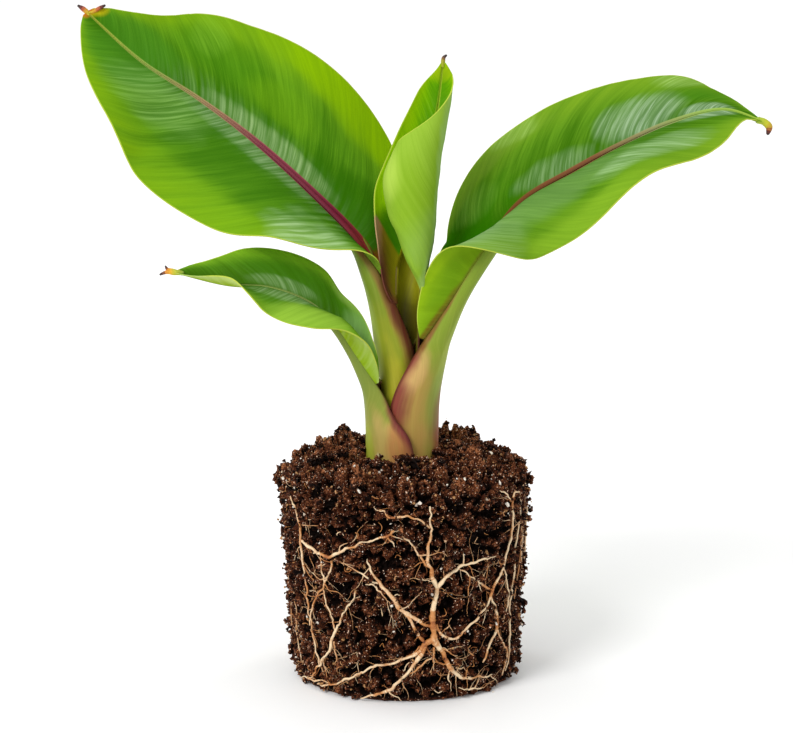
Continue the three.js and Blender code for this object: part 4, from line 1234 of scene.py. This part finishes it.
def laid_root(stops, rng):
    """Angles, heights, radii and lengths in even steps along a root, with a small random sway."""
    # Worked out on the side of the ball unrolled into a plane
    flat = np.array([(np.radians(a) * SIDE_RADIUS, z, r) for a, z, r in stops])
    length = travelled(flat[:, :2])
    even = np.linspace(0, length[-1], max(5, int(length[-1] / ROOT_STEP)))
    line = np.column_stack([np.interp(even, length, c) for c in flat.T])
    line = eased(line, min(4, len(line) - 2))
    grain = Grain(int(rng.integers(1 << 30)))
    ends = smoothed(even, 0, 2) * smoothed(-even, -length[-1], 2 - length[-1])
    for k in (0, 1):
        sway = 1.5 * (grain.at(even / 3.4 + 31 * k) - 0.5) + 0.6 * (grain.at(even / 1.2 + 57 * k) - 0.5)
        line[:, k] += sway * ends * np.clip(1.3 - line[:, 2], 0.45, 1)
    return np.degrees(line[:, 0] / SIDE_RADIUS), np.clip(line[:, 1], 0.7, 88), line[:, 2], even


def behind(angle, height):
    """The angle at which a place on the front comes again in the web's mirror image at the back."""
    return 180 - 1.34 * angle + 7 * math.sin(height / 13)


def main_roots():
    """The roots on the front, and a warped mirror image of their web round the sides and the back."""
    rng = np.random.default_rng(ROOT_SEED)
    made = []
    for back in (False, True):
        for stops in MAIN_ROOTS:
            if back:
                warp = [(behind(a, z), z + 5 * math.sin(a / 17), r) for a, z, r in stops]
                stops = [(a, min(max(z, 1), 84), r * rng.uniform(0.8, 1.1)) for a, z, r in warp]
            made.append(laid_root(stops, rng))
    return made


def root_centres(out):
    """Points along the main roots, out mm off the side of the ball, and the radius at each."""
    roots = main_roots()
    centres = np.concatenate([side_point(angle, height, out) for angle, height, _, _ in roots])
    return centres, np.concatenate([radius for _, _, radius, _ in roots])


def joint_age(angle, height):
    """How near each place is to where roots join, at the front or at the back, from 0 to 1."""
    age = np.zeros(len(angle))
    for a, z, reach in ROOT_JOINTS:
        for middle in (a, behind(a, z)):
            turn = (angle - middle + 180) % 360 - 180
            far = (np.radians(turn) * SIDE_RADIUS) ** 2 + (height - z) ** 2
            age = np.maximum(age, np.exp(-far / (0.45 * reach) ** 2))
    return age


def add_root(heap, angle, height, length, radius, sides, age, proud, rng):
    """Add one tapering root to the heap, with its middle about proud mm off the side of the ball."""
    grain = Grain(int(rng.integers(1 << 30)))
    out = proud + radius * (grain.at(length / 5 + 3) * 0.9 - 0.1) - 0.9 * smoothed(-radius, -0.3, -0.1)
    path = side_point(angle, height, out)
    lift = unit(side_point(angle, height, 10.0) - side_point(angle, height, 0.0))
    swell = 0.4 * (grain.at(length / 2.2 + 70) - 0.5)
    thick = radius * (1 + swell + 0.25 * (grain.at(length / 0.9 + 20) - 0.5))
    points, faces = tube(path, thick, sides, lift)
    turn = np.linspace(0, 6, sides)
    old = (age + joint_age(angle, height))[:, None]
    fields = np.stack(np.broadcast_arrays(old, length[:, None], turn[None, :]), -1).reshape(-1, 3)
    heap.add(points, faces, np.vstack([fields, fields[:1], fields[-1:]]))


def grow_side_roots(heap, parents, count, rng, lengths, radii, age, proud):
    """Thin roots that leave others at an angle and wander over the ball; returns their places."""
    made = []
    weights = np.array([len(q[0]) for q in parents], float)
    for _ in range(count):
        angle, height = parents[rng.choice(len(parents), p=weights / weights.sum())]
        i = int(rng.integers(1, len(angle) - 1))
        ahead = (np.radians(angle[i + 1] - angle[i - 1]) * SIDE_RADIUS, height[i + 1] - height[i - 1])
        heading = math.atan2(ahead[1], ahead[0]) + rng.choice([-1, 1]) * rng.uniform(0.4, 1.25)
        steps = int(rng.uniform(*lengths) / ROOT_STEP) + 3
        bends = np.cumsum(rng.normal(0, 0.16, steps)) + heading - 0.02 * np.arange(steps) * rng.random()
        x = np.radians(angle[i]) * SIDE_RADIUS + np.concatenate([[0], np.cumsum(np.cos(bends) * ROOT_STEP)])
        z = height[i] + np.concatenate([[0], np.cumsum(np.sin(bends) * ROOT_STEP)])
        inside = (z > 1) & (z < 86)
        last = len(z) if inside.all() else int(np.argmin(inside))
        if last < 4:
            continue
        turn, z = np.degrees(x[:last] / SIDE_RADIUS), z[:last]
        length = ROOT_STEP * np.arange(last)
        taper = rng.uniform(*radii) * (1 - 0.7 * length / length[-1])
        add_root(heap, turn, z, length, taper, 5, age + rng.uniform(-0.2, 0.2), proud, rng)
        made.append((turn, z))
    return made


# Settings


def colour_property(name, description, code):
    """A colour that the user can change, given by its six-figure code."""
    return FloatVectorProperty(
        name=name, description=description, subtype="COLOR", size=3, min=0, max=1, default=tone(code)
    )


def length_property(name, description, millimetres, most):
    """A length that the user can change, given in mm."""
    return FloatProperty(
        name=name, description=description, default=millimetres * MM, min=0, max=most * MM, unit="LENGTH",
        subtype="DISTANCE", precision=5,
    )


def grid_property(millimetres):
    """The distance between the points of a surface, as a plain number of mm."""
    return FloatProperty(
        name="Grid", description="Distance between points, in mm", default=millimetres, min=0.3, max=3
    )


def count_property(name, description, count, most, least=0):
    """A number of things that the user can change."""
    return IntProperty(name=name, description=description, default=count, min=least, max=most)


class BladeSettings(PropertyGroup):
    """Sizes and colours of the leaf blades"""

    thickness: length_property("Thickness", "Thickness of a blade halfway to its margin", 0.42, 2)
    pleat: length_property("Pleats", "Height of the pleats along the side veins", 0.18, 2)
    wave: length_property("Waves", "Height of the broad waves toward the margin", 0.5, 5)
    vein_relief: length_property("Vein relief", "Height of the fine side veins", 0.12, 1)
    grid: grid_property(0.56)
    # Painted sheen: pale streaks by the rib that paint the reflection of the light, with some of the leaf's
    # waxy bloom
    painted_sheen: FloatProperty(
        name="Sheen", description="Strength of the pale streaks by the rib", default=0.24, min=0, max=1,
        subtype="FACTOR",
    )
    painted_sheen_colour: colour_property("Sheen colour", "Pale streaks by the rib", "a4be94")
    margin_colour: colour_property("Margin", "The thin line round a blade", "bcca4c")


class StalkSettings(PropertyGroup):
    """Sizes of the sheaths, petioles and midribs"""

    ribbing: length_property("Ribbing", "Height of the fine ribs along the outside", 0.07, 1)
    dents: length_property("Dents", "Height of the soft dents in the sheaths", 0.25, 2)
    streak_relief: length_property("Streak relief", "Height of the finest lengthwise lines", 0.05, 1)
    grid: grid_property(1.0)
    columns: count_property("Columns", "Points round each face of a stalk", 33, 120, 12)


class BallSettings(PropertyGroup):
    """Sizes and colours of the root ball"""

    clods: count_property("Clods", "Number of coarse lumps", 190, 4000)
    crumbs: count_property("Crumbs", "Number of medium crumbs", 1950, 9000)
    grit: count_property("Grit", "Number of small crumbs", 4900, 20000)
    specks: count_property("White specks", "Number of white and tan grains", 1600, 4000)
    fibres: count_property("Fibres", "Number of loose fibres", 300, 2000)
    # The dark soil colour also serves as painted shade in the hollows, and the light one partly as painted
    # light on the tops of crumbs
    soil_dark: colour_property("Dark soil", "Hollows between crumbs", "120603")
    soil_mid: colour_property("Soil", "Most of the soil", "46200f")
    soil_light: colour_property("Light soil", "The driest crumbs", "b07048")


class RootSettings(PropertyGroup):
    """Sizes and colours of the roots"""

    side_roots: count_property("Side roots", "Number of thin roots that leave others", 220, 900)
    hairs: count_property("Hairs", "Number of the finest roots", 360, 3000)
    young: colour_property("Young root", "The palest roots", "ecd0a8")
    middle: colour_property("Root", "Most of a root", "c48448")
    old: colour_property("Old root", "The joints of roots", "a05a20")


class StageSettings(PropertyGroup):
    """Floor and light"""

    floor_colour: colour_property("Floor", "The pale floor", "fafafa")
    key: FloatProperty(
        name="Key light", description="Strength of the soft light at the front", default=1.7, min=0, max=20
    )
    key_spread: FloatProperty(
        name="Key spread", description="How wide the key light is", default=0.45, min=0, max=3,
        unit="ROTATION", subtype="ANGLE",
    )
    rim: FloatProperty(
        name="Rim lights", description="Power of the lights behind", default=3, min=0, max=90, unit="POWER"
    )
    sky: FloatProperty(
        name="Sky", description="Strength of the even light from all sides", default=0.8, min=0, max=5
    )


# Operators


class PLANT_OT_blades(Operator):
    """Make the four leaf blades"""

    bl_idname = "plant.blades"
    bl_label = "Leaf blades"

    def execute(self, context):
        p = context.scene.plant_blades
        grain = Grain(11)
        for name, leaf in LEAVES.items():
            left = half_blade(leaf, "left", -1, p, grain)
            right = half_blade(leaf, "right", 1, p, grain)
            points, veins, spots = (np.concatenate([left[k], right[k]]) for k in (0, 2, 3))
            faces = [left[1][0], right[1][0] + len(left[0])]
            material = blade_material(f"blade_{name}", name, p)
            nodes = [f"leaf_{name}_blade_left", f"leaf_{name}_blade_right"]
            piece(f"blade_{name}", points, faces, {"vein": veins, "spot": spots}, material, nodes)
        return {"FINISHED"}


class PLANT_OT_stalks(Operator):
    """Make each leaf's sheath, petiole and midrib"""

    bl_idname = "plant.stalks"
    bl_label = "Sheaths and midribs"

    def execute(self, context):
        p = context.scene.plant_stalks
        for k, (name, leaf) in enumerate(LEAVES.items()):
            points, faces, wall, spot = stalk(leaf, p, Grain(21 + k))
            material = stalk_material(f"stalk_{name}", name, p)
            nodes = [f"leaf_{name}_sheath", f"leaf_{name}_midrib"]
            piece(f"stalk_{name}", points, faces, {"wall": wall, "spot": spot}, material, nodes)
        return {"FINISHED"}


class PLANT_OT_tips(Operator):
    """Make the dried tips of the leaves"""

    bl_idname = "plant.tips"
    bl_label = "Leaf tips"

    def execute(self, context):
        rings, sides = 40, 16
        for k, (name, leaf) in enumerate(LEAVES.items()):
            heap = Heap()
            material = tip_material(f"tip_{name}", name)
            grain = Grain(31 + k)
            for stops in leaf["tips"]:
                place = np.linspace(0, 1, rings)
                line = along(stops, place)
                points, faces = tube(line[:, :3], line[:, 3], sides)
                middle = np.vstack([np.repeat(line[:, :3], sides, 0), line[0, :3], line[-1, :3]])
                turn = np.concatenate([np.tile(np.arange(sides) / sides, rings), [0, 0]])
                step = np.concatenate([np.repeat(place, sides), [0, 1]])
                # Dried tissue shrinks into creases
                crease = 0.62 + 0.6 * grain.at(6 * np.abs(turn - 0.5) + 2, step * 3)
                points = middle + (points - middle) * crease[:, None]
                heap.add(points, faces, np.stack([step, turn, 0 * turn], -1))
            heap.make(f"tip_{name}", "spot", material, [f"leaf_{name}_tip"])
        return {"FINISHED"}


class PLANT_OT_soil(Operator):
    """Make the body of the root ball"""

    bl_idname = "plant.soil"
    bl_label = "Root ball"

    def execute(self, context):
        p = context.scene.plant_ball
        _, length = outline()
        # Few rings under the ball, close ones over its side and its top
        place = np.concatenate([np.linspace(0.5, 40, 12), np.arange(42, length[-1] - 0.5, 0.7)])
        angle = np.linspace(-math.pi, math.pi, 430, endpoint=False)
        places, angles = np.meshgrid(place, angle, indexing="ij")
        points, normals = ball_point(angles, places)
        height = soil_height(points.reshape(-1, 3), Grain(SOIL_SEED))
        # The soil keeps below the main roots, so that they show
        centres, radii = root_centres(0.0)
        far, which = distances(points.reshape(-1, 3), centres)
        bed = ROOT_PROUD - 0.5 * radii[which]
        height = np.where(far < radii[which] + 0.9, np.minimum(height, bed), height).reshape(angles.shape)
        # No relief where the ball meets the floor
        height *= smoothed(points[..., 2], 0.0, 2.0)
        points = points + normals * height[..., None]
        points[..., 2] = np.maximum(points[..., 2], 0)
        points = np.vstack([points.reshape(-1, 3), [0, 0, 0], [0, 0, 91.5]])
        faces = outward(points, ring_faces(*angles.shape))
        height = np.concatenate([height.ravel(), [0, 0]])
        # Painted light and shade: the body is lighter on its raised soil and darker in its hollows, which are
        # also less open to the light
        shade = np.clip(0.42 + 0.1 * height, 0, 1)
        crumb = np.stack([shade, 0 * shade, smoothed(height, -2.8, 0.8)], -1)
        material = soil_material("soil", p)
        piece("soil_body", points, faces, {"crumb": crumb}, material, ["root_ball"], False)
        return {"FINISHED"}


class PLANT_OT_crumbs(Operator):
    """Scatter clods, crumbs, white specks and fibres over the root ball"""

    bl_idname = "plant.crumbs"
    bl_label = "Crumbs and specks"

    def execute(self, context):
        p = context.scene.plant_ball
        material = bpy.data.materials["soil"]
        grain = Grain(SOIL_SEED)
        # Name, number, roundness, smallest and largest size in mm, share that is on the top, and how far
        # they stand out as a share of their size
        kinds = [
            ("soil_clods", p.clods, 3, (2.4, 5.2), 0.8, 0.42),
            ("soil_crumbs", p.crumbs, 2, (1.1, 2.6), 0.45, 0.55),
            ("soil_grit", p.grit, 1, (0.6, 1.5), 0.4, 0.7),
        ]
        centres, radii = root_centres(ROOT_PROUD)
        for k, (name, count, level, sizes, top_share, proud) in enumerate(kinds):
            rng = np.random.default_rng(50 + k)
            shapes, faces = crumb_shapes(level, 12, rng)
            angle, place = ball_places(2 * count, rng, top_share)
            point, normal = ball_point(angle, place)
            size = sizes[0] + (sizes[1] - sizes[0]) * rng.random(len(place)) ** 2
            height = soil_height(point, grain)
            # Few in the hollows, and few over the main roots
            far, which = distances(point + normal * height[:, None], centres)
            keep = rng.random(len(place)) < smoothed(height, -2.2, 0.8)
            keep &= (far > radii[which] + 0.42 * size) | (rng.random(len(place)) < 0.04)
            keep &= np.cumsum(keep) <= count
            point, normal, size, height = (q[keep] for q in (point, normal, size, height))
            height += size * (proud * rng.random(len(size)) - 0.1)
            height *= smoothed(point[:, 2], 0.0, 3.0)
            # Field: shade (a random tone), how dry it is and how open to the light; the last paints shade on
            # crumbs in the hollows
            shade = np.clip(rng.normal(0.5, 0.3, len(size)), 0, 1)
            dry = (rng.random(len(size)) < 0.12) * rng.random(len(size))
            heap = Heap()
            shades = np.stack([shade, dry, 0.4 + 0.6 * smoothed(height, -2.5, 1.0)], -1)
            scatter(heap, shapes, faces, point + normal * height[:, None], normal, size, shades, rng)
            heap.make(name, "crumb", material, rounded=False)
        self.scatter_specks(p, grain)
        self.scatter_fibres(p, grain)
        return {"FINISHED"}

    def scatter_specks(self, p, grain):
        """White and tan grains that lie on the soil."""
        rng = np.random.default_rng(60)
        shapes, faces = crumb_shapes(1, 6, rng)
        angle, place = ball_places(p.specks, rng, 0.6)
        point, normal = ball_point(angle, place)
        size = 0.45 + 1.1 * rng.random(len(place)) ** 3
        height = soil_height(point, grain) + 0.7 + 0.3 * size
        shades = np.stack([rng.random(len(place)), 0 * size, 1 + 0 * size], -1)
        heap = Heap()
        scatter(heap, shapes, faces, point + normal * height[:, None], normal, size, shades, rng)
        heap.make("soil_specks", "crumb", speck_material("white_speck"), rounded=False)

    def scatter_fibres(self, p, grain):
        """Short bowed fibres that lie on the soil."""
        steps, sides = 9, 5
        rng = np.random.default_rng(61)
        angle, place = ball_places(p.fibres, rng, 0.35)
        point, normal = ball_point(angle, place)
        heap = Heap()
        for centre, out in zip(point, normal):
            along_way = unit(np.cross(out, rng.normal(size=3)))
            turn_way = np.cross(out, along_way)
            reach = rng.uniform(1.0, 4.0)
            s = np.linspace(-1, 1, steps)
            bow = rng.uniform(-0.5, 0.5)
            path = centre + np.outer(s * reach / 2, along_way)
            path += np.outer(bow * reach * (s**2 - 0.5), turn_way)
            path += np.outer(soil_height(path, grain) * 0.6 + 0.9 + 0.5 * s * rng.normal(), out)
            path[:, 2] = np.maximum(path[:, 2], 0.3)
            radii = np.full(steps, rng.uniform(0.08, 0.24))
            points, faces = tube(path, radii, sides, np.tile(out, (steps, 1)))
            age = np.full(len(points), rng.uniform(0.1, 1.1))
            heap.add(points, faces, np.stack([age, 0 * age, 0 * age], -1))
        material = root_material("fibre", bpy.context.scene.plant_roots)
        heap.make("soil_fibres", "root", material)


class PLANT_OT_roots(Operator):
    """Grow the roots over the side of the root ball"""

    bl_idname = "plant.roots"
    bl_label = "Roots"

    def execute(self, context):
        p = context.scene.plant_roots
        rng = np.random.default_rng(ROOT_SEED)
        material = root_material("root", p)
        mains = Heap()
        parents = []
        for angle, height, radius, length in main_roots():
            add_root(mains, angle, height, length, radius, 10, rng.uniform(0.05, 0.5), ROOT_PROUD, rng)
            # Side roots leave only the longer ones
            if len(angle) > 12:
                parents.append((angle, height))
        nodes = [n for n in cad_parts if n.startswith("root_") and n != "root_ball"]
        mains.make("roots_main", "root", material, nodes)
        fine = Heap()
        thin = grow_side_roots(
            fine, parents, p.side_roots, rng,
            lengths=(4, 20), radii=(0.14, 0.28), age=0.5, proud=ROOT_PROUD + 0.5,
        )
        grow_side_roots(
            fine, thin + parents, p.hairs, rng,
            lengths=(1.5, 6), radii=(0.07, 0.14), age=0.4, proud=ROOT_PROUD + 0.7,
        )
        fine.make("roots_fine", "root", material)
        return {"FINISHED"}


class PLANT_OT_stage(Operator):
    """Set up the floor, the lights and the camera"""

    bl_idname = "plant.stage"
    bl_label = "Floor, lights and camera"

    def execute(self, context):
        p = context.scene.plant_stage
        self.lay_floor(p)
        self.hang_lights(p)
        self.place_camera(context)
        return {"FINISHED"}

    def lay_floor(self, p):
        """A wide pale disc under the plant."""
        mesh = bpy.data.meshes.new("floor")
        made = bmesh.new()
        bmesh.ops.create_circle(made, cap_ends=True, segments=96, radius=FLOOR_RADIUS)
        made.to_mesh(mesh)
        made.free()
        floor = bpy.data.objects.new("floor", mesh)
        material, f, shader = finish("floor")
        where = f.node("TexCoord", {}, {}, 3) * 40.0
        cloud = f.noise(where.parts(), 2.0)
        pale = tuple(p.floor_colour)
        wire(f, shader, cloud.between(pale, tuple(0.98 * c for c in pale)), 0.6 + cloud * 0.1)
        mesh.materials.append(material)
        bpy.context.scene.collection.objects.link(floor)

    def hang_lights(self, p):
        """An even sky, one broad light from the front left and two behind."""
        world = bpy.data.worlds.new("sky")
        world.use_nodes = True
        sky = world.node_tree.nodes["Background"]
        sky.inputs["Color"].default_value = (1, 1, 1, 1)
        sky.inputs["Strength"].default_value = p.sky
        bpy.context.scene.world = world
        # Name, kind, place in metres, angle of the sun or width of the disc, and power
        lights = [
            ("key_light", "SUN", (-0.45, -0.55, 0.75), p.key_spread, p.key),
            ("rim_light_left", "AREA", (-0.9, 0.8, 0.8), 0.6, p.rim),
            ("rim_light_right", "AREA", (0.9, 0.9, 0.9), 0.6, p.rim),
        ]
        for name, kind, place, size, power in lights:
            light = bpy.data.lights.new(name, kind)
            if kind == "SUN":
                light.angle = size
            else:
                light.shape = "DISK"
                light.size = size
            light.energy = power
            made = bpy.data.objects.new(name, light)
            made.location = place
            aim = np.array(LIT_PLACE) - np.array(place)
            tilt = math.pi / 2 + math.atan2(aim[2], math.hypot(*aim[:2]))
            made.rotation_euler = (tilt, 0, math.atan2(-aim[0], aim[1]))
            bpy.context.scene.collection.objects.link(made)

    def place_camera(self, context):
        """A long lens, a little above the plant and looking down at it."""
        camera = bpy.data.cameras.new("camera")
        camera.sensor_width = CAMERA["sensor"]
        camera.lens = CAMERA["lens"]
        made = bpy.data.objects.new("camera", camera)
        made.location = CAMERA["place"]
        made.rotation_euler = (math.radians(90 - CAMERA["down"]), 0, 0)
        context.scene.collection.objects.link(made)
        context.scene.camera = made
        context.scene.view_settings.view_transform = "Standard"


class PLANT_PT_panel(Panel):
    """Lists the parts of the plant"""

    bl_idname = "PLANT_PT_panel"
    bl_label = "Young banana plant"
    bl_space_type = "VIEW_3D"
    bl_region_type = "UI"
    bl_category = "Plant"

    def draw(self, context):
        for operator in OPERATORS:
            self.layout.operator(operator.bl_idname)
        for key, group in SETTINGS.items():
            box = self.layout.box()
            box.label(text=group.__doc__)
            for name in group.__annotations__:
                box.prop(getattr(context.scene, key), name)


OPERATORS = (
    PLANT_OT_blades,
    PLANT_OT_stalks,
    PLANT_OT_tips,
    PLANT_OT_soil,
    PLANT_OT_crumbs,
    PLANT_OT_roots,
    PLANT_OT_stage,
)
SETTINGS = {
    "plant_blades": BladeSettings,
    "plant_stalks": StalkSettings,
    "plant_ball": BallSettings,
    "plant_roots": RootSettings,
    "plant_stage": StageSettings,
}


def register():
    for group in (*SETTINGS.values(), *OPERATORS, PLANT_PT_panel):
        bpy.utils.register_class(group)
    for key, group in SETTINGS.items():
        setattr(bpy.types.Scene, key, PointerProperty(type=group))


def unregister():
    for key in SETTINGS:
        delattr(bpy.types.Scene, key)
    for group in (*SETTINGS.values(), *OPERATORS, PLANT_PT_panel):
        bpy.utils.unregister_class(group)


def main():
    register()
    bpy.ops.plant.blades()
    bpy.ops.plant.stalks()
    bpy.ops.plant.tips()
    bpy.ops.plant.soil()
    bpy.ops.plant.crumbs()
    bpy.ops.plant.roots()
    bpy.ops.plant.stage()


if __name__ == "__main__":
    main()
